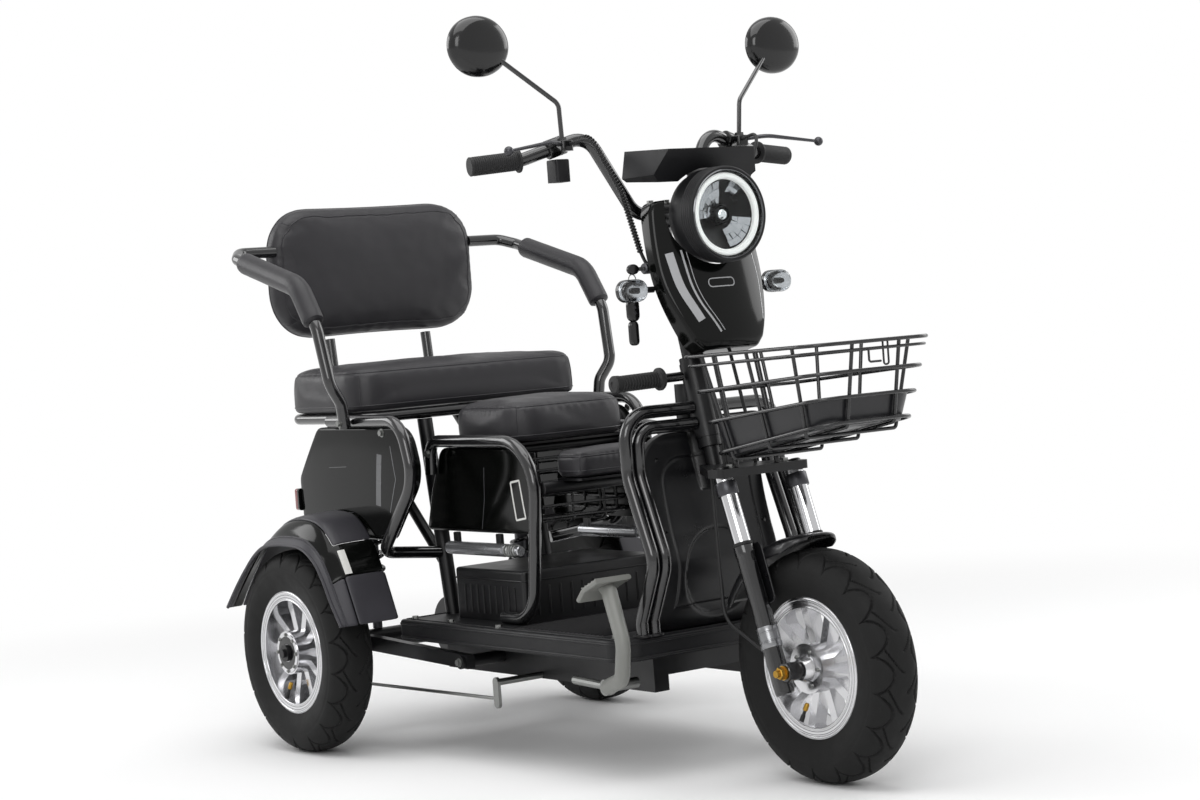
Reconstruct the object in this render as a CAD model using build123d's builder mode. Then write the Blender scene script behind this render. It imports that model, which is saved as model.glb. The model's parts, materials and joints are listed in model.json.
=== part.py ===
"""Electric tricycle with a rear bench, a driver's saddle and a front basket.

Millimetres. +X points forward, +Y to the rider's left, +Z up. The origin is on the
ground, under the centre of the overall length and width. Side sketches are drawn on
the plane SIDE, whose x is the distance ahead of the rear axle and whose y is height.
"""

import os
from math import atan2, cos, degrees, hypot, radians, sin, tan

from build123d import *

# ---------------------------------------------------------------- driving dimensions
WHEELBASE = 1090.0
TRACK = 650.0
TYRE_RADIUS = 187.5
TYRE_WIDTH = 88.0
RIM_FLANGE = 113.5
RIM_WIDTH = 68.0
HUB_RADIUS = 40.0
SPOKE_COUNT = 10
TAIL_OVERHANG = 222.0

SEAT_GAP = 0.3
MOVING_GAP = 6.0

HEAD_RAKE = 13.5
HEAD_AHEAD = 832.0
HEAD_LOW = 552.0
HEAD_LENGTH = 128.0
HEAD_RADIUS = 22.0
STEM_RADIUS = 14.4
FORK_RAKE = 19.0
FORK_LEAD = 27.5
LEG_SPREAD = 74.0
STANCHION_RADIUS = 15.0
LOWER_LEG_RADIUS = 16.0
CROWN_HEIGHT = 500.0
CROWN_THICK = 14.0

BAR_RADIUS = 11.0
BAR_HEIGHT = 930.0
FRAME_TUBE = 22.0

FLOOR_TOP = 238.0
FLOOR_THICK = 36.0
FLOOR_REAR = 152.0
FLOOR_FRONT = 838.0
FLOOR_HALF = 215.0

RAIL_SPREAD = 110.0
RAIL_WIDTH = 30.0
RAIL_DEPTH = 50.0

BENCH_REAR = -145.0
BENCH_FRONT = 135.0
BENCH_HALF = 260.0
BENCH_LOW = 619.0
BENCH_THICK = 90.0
BACK_LOW = 757.0
BACK_HIGH = 1016.0
BACK_HALF = 235.0
BACK_FACE = -145.0
BACK_THICK = 58.0

SADDLE_REAR = 225.0
SADDLE_FRONT = 455.0
SADDLE_HALF = 135.0
SADDLE_LOW = 552.0
SADDLE_THICK = 80.0
CUSHION_CORNER = 58.0

# ---------------------------------------------------------------- reference frames
REAR_X = (TAIL_OVERHANG - WHEELBASE - TYRE_RADIUS) / 2
FRONT_X = REAR_X + WHEELBASE
SIDE = Plane(origin=(REAR_X, 0, 0), x_dir=(1, 0, 0), z_dir=(0, -1, 0))
HEAD_UP = Vector(-sin(radians(HEAD_RAKE)), 0, cos(radians(HEAD_RAKE)))
HEAD = Plane(
    origin=(REAR_X + HEAD_AHEAD, 0, HEAD_LOW),
    x_dir=(cos(radians(HEAD_RAKE)), 0, sin(radians(HEAD_RAKE))),
    z_dir=(HEAD_UP.X, HEAD_UP.Y, HEAD_UP.Z),
)
FORK_UP = Vector(-sin(radians(FORK_RAKE)), 0, cos(radians(FORK_RAKE)))
HALF_TRACK = TRACK / 2


def spot(ahead, left, high):
    """Point given by its distance ahead of the rear axle, to the left and up."""
    return Vector(REAR_X + ahead, left, high)


def steer_ahead(high):
    """Distance of the steering axis ahead of the rear axle at a height."""
    return HEAD_AHEAD - (high - HEAD_LOW) * tan(radians(HEAD_RAKE))


def fork_ahead(high):
    """Distance of a fork leg's centre line ahead of the rear axle at a height."""
    return WHEELBASE - FORK_LEAD - (high - TYRE_RADIUS) * tan(radians(FORK_RAKE))


def tube(points, radius, bends):
    """Round bar along straight runs joined by arcs, added to the part being built."""
    with BuildLine(mode=Mode.PRIVATE) as path:
        if len(points) == 2:
            Line(*points)
        else:
            FilletPolyline(*points, radius=bends)
    route = path.wire()
    with BuildSketch(Plane(origin=route @ 0, z_dir=route % 0)) as ring:
        Circle(radius)
    sweep(ring.sketch, path=route)


def bar(start, end, radius, mode=Mode.ADD):
    """Straight round bar between two points."""
    run = Vector(*end) - Vector(*start)
    with BuildSketch(Plane(origin=start, z_dir=run)) as ring:
        Circle(radius)
    extrude(ring.sketch, amount=run.length, mode=mode)


def both_sides():
    """Copy the part being built across the centre plane."""
    mirror(about=Plane.XZ)


def wheel_plane(left, ahead):
    """Plane across a wheel, its normal to the right, at the hub's centre."""
    return Plane(
        origin=(REAR_X + ahead, left, TYRE_RADIUS), x_dir=(1, 0, 0), z_dir=(0, -1, 0)
    )


PIECES = {}


def keep(piece, name):
    """Label a finished piece and list it for export."""
    piece.part.label = name
    PIECES[name] = piece


# ---------------------------------------------------------------- wheels
BEAD_HALF = RIM_WIDTH / 2 - 4.0
RIM_WELL = RIM_FLANGE - 12.0
HUB_HALF = 40.0
SPINDLE_RADIUS = 8.0
AXLE_RADIUS = 6.0
RUNNING = 0.06


def make_tyre(left, ahead):
    """Solid ring tyre, with a round crown and side walls that swell past the rim."""
    centre = wheel_plane(left, ahead)
    half = TYRE_WIDTH / 2
    with BuildPart() as tyre:
        with BuildSketch(Plane(centre.origin, x_dir=(0, -1, 0), z_dir=(-1, 0, 0))) as sk:
            with BuildLine():
                Line((-BEAD_HALF + SEAT_GAP, RIM_WELL + 1), (BEAD_HALF - SEAT_GAP, RIM_WELL + 1))
                Line((BEAD_HALF - SEAT_GAP, RIM_WELL + 1), (BEAD_HALF - SEAT_GAP, RIM_FLANGE + 2))
                ThreePointArc(
                    (BEAD_HALF - SEAT_GAP, RIM_FLANGE + 2),
                    (half, TYRE_RADIUS - 38),
                    (half - 9, TYRE_RADIUS - 14),
                )
                ThreePointArc(
                    (half - 9, TYRE_RADIUS - 14), (0, TYRE_RADIUS), (9 - half, TYRE_RADIUS - 14)
                )
                ThreePointArc(
                    (9 - half, TYRE_RADIUS - 14),
                    (-half, TYRE_RADIUS - 38),
                    (SEAT_GAP - BEAD_HALF, RIM_FLANGE + 2),
                )
                Line((SEAT_GAP - BEAD_HALF, RIM_FLANGE + 2), (SEAT_GAP - BEAD_HALF, RIM_WELL + 1))
            make_face()
        revolve(axis=Axis(centre.origin, (0, 1, 0)))
    return tyre


def make_rim(left, ahead, bore):
    """Cast rim: barrel with two flanges, a drum hub and flat spokes between them."""
    centre = wheel_plane(left, ahead)
    barrel_in = RIM_WELL - 5.0
    with BuildPart() as rim:
        with BuildSketch(centre.offset(-RIM_WIDTH / 2)):
            Circle(RIM_WELL + 0.7)
            Circle(barrel_in, mode=Mode.SUBTRACT)
        extrude(amount=RIM_WIDTH)
        for face in (-RIM_WIDTH / 2, RIM_WIDTH / 2 - 3.5):
            with BuildSketch(centre.offset(face)):
                Circle(RIM_FLANGE)
                Circle(barrel_in, mode=Mode.SUBTRACT)
            extrude(amount=3.5)
        with BuildSketch(centre.offset(-HUB_HALF)):
            Circle(HUB_RADIUS)
        extrude(amount=2 * HUB_HALF)
        with BuildSketch(centre.offset(-12)):
            with PolarLocations((HUB_RADIUS + barrel_in) / 2, SPOKE_COUNT):
                Rectangle(barrel_in - HUB_RADIUS + 6, 15)
        extrude(amount=24)
        with BuildSketch(centre.offset(-HUB_HALF)):
            Circle(bore)
        extrude(amount=2 * HUB_HALF, mode=Mode.SUBTRACT)
    return rim


keep(make_tyre(0, WHEELBASE), "front_tyre")
keep(make_rim(0, WHEELBASE, AXLE_RADIUS + RUNNING), "front_rim")
for side, left in (("right", -HALF_TRACK), ("left", HALF_TRACK)):
    keep(make_tyre(left, 0), f"rear_tyre_{side}")
    keep(make_rim(left, 0, SPINDLE_RADIUS + RUNNING), f"rear_rim_{side}")

# ---------------------------------------------------------------- fork and steering stem
LEG_FOOT = -40.0
LEG_TOP = 338.0
COLLAR_AT = 196.0
BAND_AT = 36.0
BOSS_RADIUS = 15.0
AXLE_HALF = 104.0
CLAMP_RADIUS = 17.0


def leg_plane(left, along):
    """Plane square to a fork leg, at a distance along it from the axle's height."""
    foot = spot(fork_ahead(TYRE_RADIUS), left, TYRE_RADIUS)
    return Plane(origin=foot + FORK_UP * along, z_dir=FORK_UP)


def leg_section(left, start, end, radius, mode=Mode.ADD):
    """Round stretch of a fork leg."""
    with BuildSketch(leg_plane(left, start)) as ring:
        Circle(radius)
    extrude(ring.sketch, amount=end - start, mode=mode)


with BuildPart() as fork_legs:
    leg_section(LEG_SPREAD, LEG_FOOT, COLLAR_AT, LOWER_LEG_RADIUS)
    leg_section(LEG_SPREAD, COLLAR_AT, COLLAR_AT + 12, LOWER_LEG_RADIUS + 1)
    leg_section(LEG_SPREAD, COLLAR_AT, LEG_TOP, STANCHION_RADIUS)
    leg_section(LEG_SPREAD, BAND_AT, BAND_AT + 36, LOWER_LEG_RADIUS + 2)
    with BuildSketch(wheel_plane(LEG_SPREAD + 13, WHEELBASE)):
        Circle(BOSS_RADIUS)
    extrude(amount=26)
    with BuildSketch(wheel_plane(LEG_SPREAD + 20, WHEELBASE)):
        Circle(AXLE_RADIUS + RUNNING)
    extrude(amount=40, mode=Mode.SUBTRACT)
    both_sides()
keep(fork_legs, "fork_legs")

with BuildPart() as front_axle:
    with BuildSketch(wheel_plane(AXLE_HALF, WHEELBASE)):
        Circle(AXLE_RADIUS)
    extrude(amount=2 * AXLE_HALF)
    for left in (-LEG_SPREAD - 13 - SEAT_GAP, LEG_SPREAD + 25 + SEAT_GAP):
        with BuildSketch(wheel_plane(left, WHEELBASE)):
            RegularPolygon(11, 6)
        extrude(amount=12)
keep(front_axle, "front_axle")

LAMP_HEIGHT = 917.0
LAMP_RADIUS = 79.0
LAMP_BACK = 838.0
LAMP_FACE = 930.0
STEM_LOW = -58.0
BAR_ALONG = (BAR_HEIGHT - HEAD_LOW) / cos(radians(HEAD_RAKE))
BAR_AHEAD = steer_ahead(BAR_HEIGHT)
COWL_ALONG = 250.0
COWL_BULGE = 128.0
COWL_SKIN = 4.0
COWL_REACH = COWL_BULGE - COWL_SKIN - 2 * SEAT_GAP
BEARING_RADIUS = 20.5
CROWN_TAIL = (18.0, 20.0)
CROWN_SWING = hypot(*CROWN_TAIL)

with BuildPart() as steering_stem:
    with BuildSketch(HEAD.offset(STEM_LOW)):
        Circle(STEM_RADIUS)
    extrude(amount=BAR_ALONG - STEM_LOW)
    for low in (-16 - SEAT_GAP, HEAD_LENGTH + SEAT_GAP):
        with BuildSketch(HEAD.offset(low)):
            Circle(BEARING_RADIUS)
        extrude(amount=16 if low < 0 else 9)
    with BuildSketch(Plane(origin=spot(BAR_AHEAD, 26, BAR_HEIGHT), z_dir=(0, -1, 0))):
        Circle(CLAMP_RADIUS)
    extrude(amount=52)
    with BuildSketch(Plane.XY.offset(CROWN_HEIGHT - CROWN_THICK / 2)):
        crown_ahead = fork_ahead(CROWN_HEIGHT)
        with BuildLine():
            Polyline(
                spot(steer_ahead(CROWN_HEIGHT) - CROWN_TAIL[0], -CROWN_TAIL[1], 0),
                spot(crown_ahead - 14, -LEG_SPREAD - 20, 0),
                spot(crown_ahead + 20, -LEG_SPREAD - 20, 0),
                spot(crown_ahead + 20, LEG_SPREAD + 20, 0),
                spot(crown_ahead - 14, LEG_SPREAD + 20, 0),
                spot(steer_ahead(CROWN_HEIGHT) - CROWN_TAIL[0], CROWN_TAIL[1], 0),
                close=True,
            )
        make_face()
        fillet(vertices(), 9)
    extrude(amount=CROWN_THICK)
    bar(
        spot(steer_ahead(LAMP_HEIGHT), 0, LAMP_HEIGHT),
        spot(LAMP_BACK - SEAT_GAP, 0, LAMP_HEIGHT),
        12,
    )
    with BuildSketch(HEAD.offset(COWL_ALONG)):
        with Locations((COWL_REACH / 2, 0)):
            Rectangle(COWL_REACH, 20)
    extrude(amount=6)
    bar(
        spot(BAR_AHEAD, -60, BAR_HEIGHT),
        spot(BAR_AHEAD, 60, BAR_HEIGHT),
        BAR_RADIUS + 0.15,
        mode=Mode.SUBTRACT,
    )
    for left in (-LEG_SPREAD, LEG_SPREAD):
        leg_section(left, 250, 400, STANCHION_RADIUS + 0.15, mode=Mode.SUBTRACT)
keep(steering_stem, "steering_stem")

# ---------------------------------------------------------------- handlebar and controls
RISE_FOOT = (BAR_AHEAD, 50.0, BAR_HEIGHT)
RISE_TOP = (726.0, 128.0, 1066.0)
GRIP_IN = (704.0, 249.0, 1030.0)
GRIP_OUT = (683.0, 332.0, 1024.0)
PERCH = (716.0, 190.0, 1048.0)
GRIP_RADIUS = 16.0


def mirrored(point, side):
    """Place a point of the left half on either side; side is 1 for left, -1 for right."""
    return spot(point[0], side * point[1], point[2])


with BuildPart() as handlebar:
    tube(
        [mirrored(p, -1) for p in (GRIP_OUT, GRIP_IN, RISE_TOP, RISE_FOOT)]
        + [mirrored(p, 1) for p in (RISE_FOOT, RISE_TOP, GRIP_IN, GRIP_OUT)],
        BAR_RADIUS,
        [60, 38, 38, 38, 38, 60],
    )
keep(handlebar, "handlebar")

BAR_RUN = (Vector(*GRIP_OUT) - Vector(*GRIP_IN)).normalized()
GRIP_LENGTH = (Vector(*GRIP_OUT) - Vector(*GRIP_IN)).length

with BuildPart() as grips:
    start = spot(*GRIP_IN)
    grip_plane = Plane(origin=start + BAR_RUN * 2, z_dir=BAR_RUN)
    with BuildSketch(grip_plane):
        Circle(GRIP_RADIUS)
    extrude(amount=GRIP_LENGTH + 2)
    with BuildSketch(grip_plane):
        Circle(GRIP_RADIUS + 4)
    extrude(amount=4)
    with BuildSketch(grip_plane):
        Circle(BAR_RADIUS + 0.2)
    extrude(amount=GRIP_LENGTH - 1.7, mode=Mode.SUBTRACT)
    both_sides()
keep(grips, "grips")

PERCH_RUN = (Vector(*GRIP_IN) - Vector(*RISE_TOP)).normalized()
PERCH_AT = Vector(*RISE_TOP) + PERCH_RUN * 44
LEVER_TIP = (786.0, 326.0, 1040.0)
LEVER_BEND = (768.0, 226.0, 1054.0)

with BuildPart() as brake_levers:
    perch = spot(PERCH_AT.X, PERCH_AT.Y, PERCH_AT.Z)
    with BuildSketch(Plane(origin=perch, z_dir=PERCH_RUN)):
        Circle(BAR_RADIUS + 5)
    extrude(amount=34)
    knuckle = perch + PERCH_RUN * 17 + Vector(14, 0, 0)
    with BuildSketch(Plane.XY.offset(knuckle.Z - 9)):
        with Locations((knuckle.X + 8, knuckle.Y)):
            RectangleRounded(34, 24, 6)
    extrude(amount=18)
    tube(
        [knuckle + Vector(14, 0, 2), mirrored(LEVER_BEND, 1), mirrored(LEVER_TIP, 1)],
        5.0,
        [50],
    )
    with Locations(mirrored(LEVER_TIP, 1)):
        Sphere(8)
    bar(
        perch - PERCH_RUN * 20,
        perch + PERCH_RUN * 60,
        BAR_RADIUS + 0.2,
        mode=Mode.SUBTRACT,
    )
    both_sides()
keep(brake_levers, "brake_levers")

SWITCH_TOP = knuckle.Z - 20.4

with BuildPart() as switch_boxes:
    with BuildSketch(Plane.XY.offset(SWITCH_TOP - 38)):
        with Locations((knuckle.X - 12, knuckle.Y - 2)):
            RectangleRounded(32, 28, 5)
    extrude(amount=38)
    both_sides()
keep(switch_boxes, "switch_boxes")

MIRROR_AT = (690.0, 311.0, 1218.0)
MIRROR_HALF_WIDTH = 57.0
MIRROR_HALF_HEIGHT = 50.0

with BuildPart() as mirrors:
    face = Plane(origin=mirrored(MIRROR_AT, 1), x_dir=(0, 1, 0), z_dir=(1, 0, 0))
    for depth, share in ((0, 1.0), (14, 0.97), (24, 0.78), (30, 0.4)):
        with BuildSketch(face.offset(depth)):
            Ellipse(MIRROR_HALF_WIDTH * share, MIRROR_HALF_HEIGHT * share)
    loft()
    tube(
        [
            knuckle + Vector(6, 2, 9 + SEAT_GAP),
            mirrored((742, 191, 1118), 1),
            mirrored((711, 276, 1192), 1),
            mirrored((702, 300, 1205), 1),
        ],
        4.0,
        [18, 20],
    )
    both_sides()
keep(mirrors, "mirrors")

# ---------------------------------------------------------------- headlamp, dash and cowl
with BuildPart() as headlamp:
    with BuildSketch(SIDE):
        with BuildLine():
            Line((LAMP_BACK, LAMP_HEIGHT), (LAMP_BACK, LAMP_HEIGHT + 40))
            ThreePointArc(
                (LAMP_BACK, LAMP_HEIGHT + 40),
                (LAMP_BACK + 10, LAMP_HEIGHT + LAMP_RADIUS - 12),
                (LAMP_BACK + 30, LAMP_HEIGHT + LAMP_RADIUS),
            )
            Polyline(
                (LAMP_BACK + 30, LAMP_HEIGHT + LAMP_RADIUS),
                (LAMP_FACE - 3, LAMP_HEIGHT + LAMP_RADIUS),
                (LAMP_FACE, LAMP_HEIGHT + LAMP_RADIUS - 3),
                (LAMP_FACE, LAMP_HEIGHT),
                (LAMP_BACK, LAMP_HEIGHT),
            )
        make_face()
    revolve(axis=Axis(spot(0, 0, LAMP_HEIGHT), (1, 0, 0)))
keep(headlamp, "headlamp")

DASH_TOP = 1032.0
DASH_LOW = 976.0

with BuildPart() as dash_housing:
    with BuildSketch(SIDE.offset(-110)):
        with BuildLine():
            Polyline(
                (772, DASH_TOP + 2),
                (896, DASH_TOP - 4),
                (868, DASH_LOW),
                (790, DASH_LOW + 6),
                close=True,
            )
        make_face()
    extrude(amount=220)
    with BuildSketch(Plane(origin=spot(750, 0, 0), x_dir=(0, 1, 0), z_dir=(1, 0, 0))):
        with BuildLine():
            Polyline(
                (-84, DASH_TOP + 6),
                (84, DASH_TOP + 6),
                (107, DASH_LOW + 12),
                (92, DASH_LOW - 1),
                (-92, DASH_LOW - 1),
                (-107, DASH_LOW + 12),
                close=True,
            )
        make_face()
    extrude(amount=200, mode=Mode.INTERSECT)
    bar(
        spot(LAMP_BACK - 60, 0, LAMP_HEIGHT),
        spot(LAMP_FACE + 30, 0, LAMP_HEIGHT),
        LAMP_RADIUS + SEAT_GAP,
        mode=Mode.SUBTRACT,
    )
keep(dash_housing, "dash_housing")

COWL_HALF = 107.5
COWL_EDGE = 100.0
COWL_RETURN = 22.0
COWL_FOOT = (672.0 - HEAD_LOW) / cos(radians(HEAD_RAKE))
COWL_HEAD = (922.0 - HEAD_LOW) / cos(radians(HEAD_RAKE))
COWL_FRONT_VIEW = Plane(HEAD.origin, x_dir=(0, 1, 0), z_dir=HEAD.x_dir)


def cowl_block(skin, back):
    """Cowl filled solid, its surface moved in by the skin and its open back moved."""
    with BuildPart() as block:
        with BuildSketch(HEAD.offset(COWL_FOOT - 10)):
            with BuildLine():
                Line((back, -130), (COWL_EDGE - skin - 12, -130))
                ThreePointArc(
                    (COWL_EDGE - skin - 12, -130), (COWL_BULGE - skin, 0), (COWL_EDGE - skin - 12, 130)
                )
                Polyline((COWL_EDGE - skin - 12, 130), (back, 130), (back, -130))
            make_face()
        extrude(amount=COWL_HEAD - COWL_FOOT + 30)
        with BuildSketch(COWL_FRONT_VIEW):
            with BuildLine():
                Line((0, COWL_FOOT), (66, COWL_FOOT))
                ThreePointArc((66, COWL_FOOT), (COWL_HALF, COWL_FOOT + 150), (98, COWL_HEAD))
                Line((98, COWL_HEAD), (0, COWL_HEAD))
                mirror(about=Plane.YZ)
            make_face()
            offset(amount=-skin, kind=Kind.INTERSECTION)
        extrude(amount=220, mode=Mode.INTERSECT)
    return block


cowl_hollow = cowl_block(COWL_SKIN, COWL_EDGE - COWL_RETURN - 20)
with BuildPart() as cowl:
    add(cowl_block(0.0, COWL_EDGE - COWL_RETURN).part)
    bar(
        spot(LAMP_BACK - 60, 0, LAMP_HEIGHT),
        spot(LAMP_FACE + 30, 0, LAMP_HEIGHT),
        LAMP_RADIUS + 1,
        mode=Mode.SUBTRACT,
    )
    add(cowl_hollow.part, mode=Mode.SUBTRACT)
keep(cowl, "cowl")

SIGNAL_AT = (853.0, 152.0, 803.0)
SIGNAL_HALF = 29.0

with BuildPart() as turn_signals:
    middle = mirrored(SIGNAL_AT, 1)
    with BuildSketch(Plane(origin=middle - Vector(0, SIGNAL_HALF, 0), z_dir=(0, 1, 0))):
        SlotOverall(38, 28)
    extrude(amount=2 * SIGNAL_HALF)
    fillet(edges().group_by(Axis.Y)[-1], 12)
    fillet(edges().group_by(Axis.Y)[0], 9)
    bar(middle - Vector(-6, SIGNAL_HALF - 4, 0), middle - Vector(-6, 47.3, 0), 5)
    both_sides()
keep(turn_signals, "turn_signals")

# ---------------------------------------------------------------- front basket
WIRE_RADIUS = 3.0
THIN_WIRE = 2.3
WELD_STEP = 4.5
RIM_REAR = (925.0, 690.0)
RIM_FRONT = (1262.0, 700.0)
FLOOR_WIRE_REAR = (965.0, 521.0)
FLOOR_WIRE_FRONT = (1238.0, 571.0)
BASKET_HALF = 120.0
BASKET_FOOT_HALF = 92.0
BASKET_CORNER = 42.0
BASKET_BEND = 6.0
TRAY_WALL = 3.0


def basket_corner(rear, share):
    """Side-view place on the basket's rear or front wall; share 0 is the floor, 1 the rim."""
    low, high = (FLOOR_WIRE_REAR, RIM_REAR) if rear else (FLOOR_WIRE_FRONT, RIM_FRONT)
    return tuple(low[i] + (high[i] - low[i]) * share for i in (0, 1))


def basket_half(share):
    """Half width of the basket at a share of its height."""
    return BASKET_FOOT_HALF + (BASKET_HALF - BASKET_FOOT_HALF) * share


def basket_ring(share, radius):
    """Wire ring round the outside of the basket's upright wires at a share of its height."""
    rear = basket_corner(True, share)
    front = basket_corner(False, share)
    half = basket_half(share) + WELD_STEP
    with BuildLine(mode=Mode.PRIVATE) as ring:
        FilletPolyline(
            spot(rear[0] - WELD_STEP, -half, rear[1]),
            spot(front[0] + WELD_STEP, -half, front[1]),
            spot(front[0] + WELD_STEP, half, front[1]),
            spot(rear[0] - WELD_STEP, half, rear[1]),
            radius=BASKET_CORNER,
            close=True,
        )
    route = ring.wire()
    with BuildSketch(Plane(origin=route @ 0, z_dir=route % 0)) as circle:
        Circle(radius)
    sweep(circle.sketch, path=route)


with BuildPart() as basket_frame:
    basket_ring(1.0, WIRE_RADIUS)
    basket_ring(0.91, THIN_WIRE)
    basket_ring(0.66, WIRE_RADIUS)
    basket_ring(0.36, WIRE_RADIUS)
    basket_ring(0.06, WIRE_RADIUS)
    for left in (-48, 48):
        tube(
            [
                spot(RIM_REAR[0], left, RIM_REAR[1]),
                spot(FLOOR_WIRE_REAR[0], left, FLOOR_WIRE_REAR[1]),
                spot(FLOOR_WIRE_FRONT[0], left, FLOOR_WIRE_FRONT[1]),
                spot(RIM_FRONT[0], left, RIM_FRONT[1]),
            ],
            WIRE_RADIUS,
            [BASKET_BEND, BASKET_BEND],
        )
    for along in (0.17, 0.5, 0.83):
        high = [RIM_REAR[i] + (RIM_FRONT[i] - RIM_REAR[i]) * along for i in (0, 1)]
        low = [
            FLOOR_WIRE_REAR[i] + (FLOOR_WIRE_FRONT[i] - FLOOR_WIRE_REAR[i]) * along - WELD_STEP * i
            for i in (0, 1)
        ]
        tube(
            [
                spot(high[0], -BASKET_HALF, high[1]),
                spot(low[0], -BASKET_FOOT_HALF, low[1]),
                spot(low[0], BASKET_FOOT_HALF, low[1]),
                spot(high[0], BASKET_HALF, high[1]),
            ],
            WIRE_RADIUS,
            [BASKET_BEND, BASKET_BEND],
        )
    for left in (-43, 43):
        tube(
            [
                spot(954, left, CROWN_HEIGHT + CROWN_THICK / 2 + 2 * SEAT_GAP),
                spot(950, left, 545),
                spot(RIM_REAR[0] - 9, left, RIM_REAR[1]),
            ],
            4.5,
            [30],
        )
keep(basket_frame, "basket_frame")


def tray_block(wall):
    """Basket liner filled solid, its walls and floor moved in by the wall."""
    sections = []
    for share in (0.0, 0.36):
        rear = basket_corner(True, share)
        front = basket_corner(False, share)
        lift = WIRE_RADIUS + SEAT_GAP + wall if share == 0.0 else wall
        inset = WIRE_RADIUS + SEAT_GAP + 1.5 + wall
        corner = BASKET_CORNER - inset
        middle = spot((rear[0] + front[0]) / 2, 0, (rear[1] + front[1]) / 2)
        run = Vector(front[0] - rear[0], 0, front[1] - rear[1])
        up = Vector(-run.Z, 0, run.X).normalized()
        plane = Plane(origin=middle + up * lift, x_dir=run, z_dir=up)
        with BuildSketch(plane) as section:
            RectangleRounded(
                run.length - 2 * inset, 2 * (basket_half(share) - inset), corner
            )
        sections.append(section.sketch)
    with BuildPart() as block:
        loft(sections)
    return block


tray_hollow = tray_block(TRAY_WALL)
with BuildPart() as basket_tray:
    add(tray_block(0.0).part)
    add(tray_hollow.part, mode=Mode.SUBTRACT)
keep(basket_tray, "basket_tray")

# ---------------------------------------------------------------- front mudguard and cables
GUARD_INNER = 208.0
GUARD_SKIN = 3.0
GUARD_HALF = LEG_SPREAD - LOWER_LEG_RADIUS - 1 - SEAT_GAP
GUARD_FRONT_ANGLE = 88.0
GUARD_REAR_ANGLE = 153.0
GUARD_LIP = 24.0


def guard_sector(inner, outer, half, mode=Mode.ADD):
    """Ring sector about the front axle between the guard's two end angles."""
    with BuildSketch(wheel_plane(half, WHEELBASE)) as sector:
        with BuildLine():
            sweep_angle = GUARD_REAR_ANGLE - GUARD_FRONT_ANGLE
            outside = CenterArc((0, 0), outer, GUARD_FRONT_ANGLE, sweep_angle)
            inside = CenterArc((0, 0), inner, GUARD_FRONT_ANGLE, sweep_angle)
            Line(outside @ 0, inside @ 0)
            Line(outside @ 1, inside @ 1)
        make_face()
    extrude(sector.sketch, amount=2 * half, mode=mode)


with BuildPart() as front_mudguard:
    guard_sector(GUARD_INNER - GUARD_LIP, GUARD_INNER + GUARD_SKIN, GUARD_HALF)
    guard_sector(GUARD_INNER - GUARD_LIP - 2, GUARD_INNER, GUARD_HALF - GUARD_SKIN, Mode.SUBTRACT)
    with BuildSketch(SIDE.offset(-GUARD_HALF)):
        with BuildLine():
            Polyline((972, 366), (1012, 384), (1044, 300), (1014, 290), close=True)
        make_face()
        fillet(vertices(), 8)
    extrude(amount=GUARD_SKIN)
    both_sides()
keep(front_mudguard, "front_mudguard")

CABLE_RADIUS = 3.0
with BuildPart() as control_cables:
    for side in (-1, 1):
        tube(
            [
                spot(knuckle.X - REAR_X + 25 + SEAT_GAP, side * (knuckle.Y - 4), knuckle.Z + 2),
                spot(806, side * 176, 1058),
                spot(818, side * 132, 965),
                spot(796, side * 84, 860),
                spot(868, side * 30, 690),
                spot(906, side * 30, 560),
                spot(914, side * 30, CROWN_HEIGHT + CROWN_THICK / 2 + SEAT_GAP),
            ],
            CABLE_RADIUS,
            [24, 40, 60, 50, 40],
        )
    tube(
        [
            spot(927, -LEG_SPREAD, CROWN_HEIGHT - CROWN_THICK / 2 - SEAT_GAP),
            spot(929, -LEG_SPREAD, 400),
            spot(938, -LEG_SPREAD - 3, 262),
            spot(1033.5, -LEG_SPREAD, 214),
        ],
        CABLE_RADIUS,
        [120, 42],
    )
keep(control_cables, "control_cables")

# ---------------------------------------------------------------- frame and floor
RAIL_TOP = FLOOR_TOP - FLOOR_THICK - SEAT_GAP - 12.0
UPRIGHT_RADIUS = 14.0
UPRIGHT_FOOT = (185.0, RAIL_SPREAD, RAIL_TOP - 20)
BENCH_BAR_RADIUS = 10.0
BENCH_BAR_HIGH = BENCH_LOW - SEAT_GAP - BENCH_BAR_RADIUS
BENCH_BAR_FRONT = 126.0
UPRIGHT_HEAD = (BENCH_BAR_FRONT, RAIL_SPREAD, BENCH_BAR_HIGH - BENCH_BAR_RADIUS - SEAT_GAP)
DOWN_TUBE_RADIUS = 17.0
DOWN_TUBE_HEAD = (776.0, 0.0, 642.0)
DOWN_TUBE_FOOT = (782.0, 0.0, RAIL_TOP - 13.7)
PIVOT_AT = (350.0, RAIL_TOP - 17.7)
PIVOT_RADIUS = 11.0
PIVOT_HALF = 189.7


def upright_ahead(high):
    """Distance of the frame uprights' centre line ahead of the rear axle at a height."""
    share = (high - UPRIGHT_FOOT[2]) / (UPRIGHT_HEAD[2] - UPRIGHT_FOOT[2])
    return UPRIGHT_FOOT[0] + (UPRIGHT_HEAD[0] - UPRIGHT_FOOT[0]) * share


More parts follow.
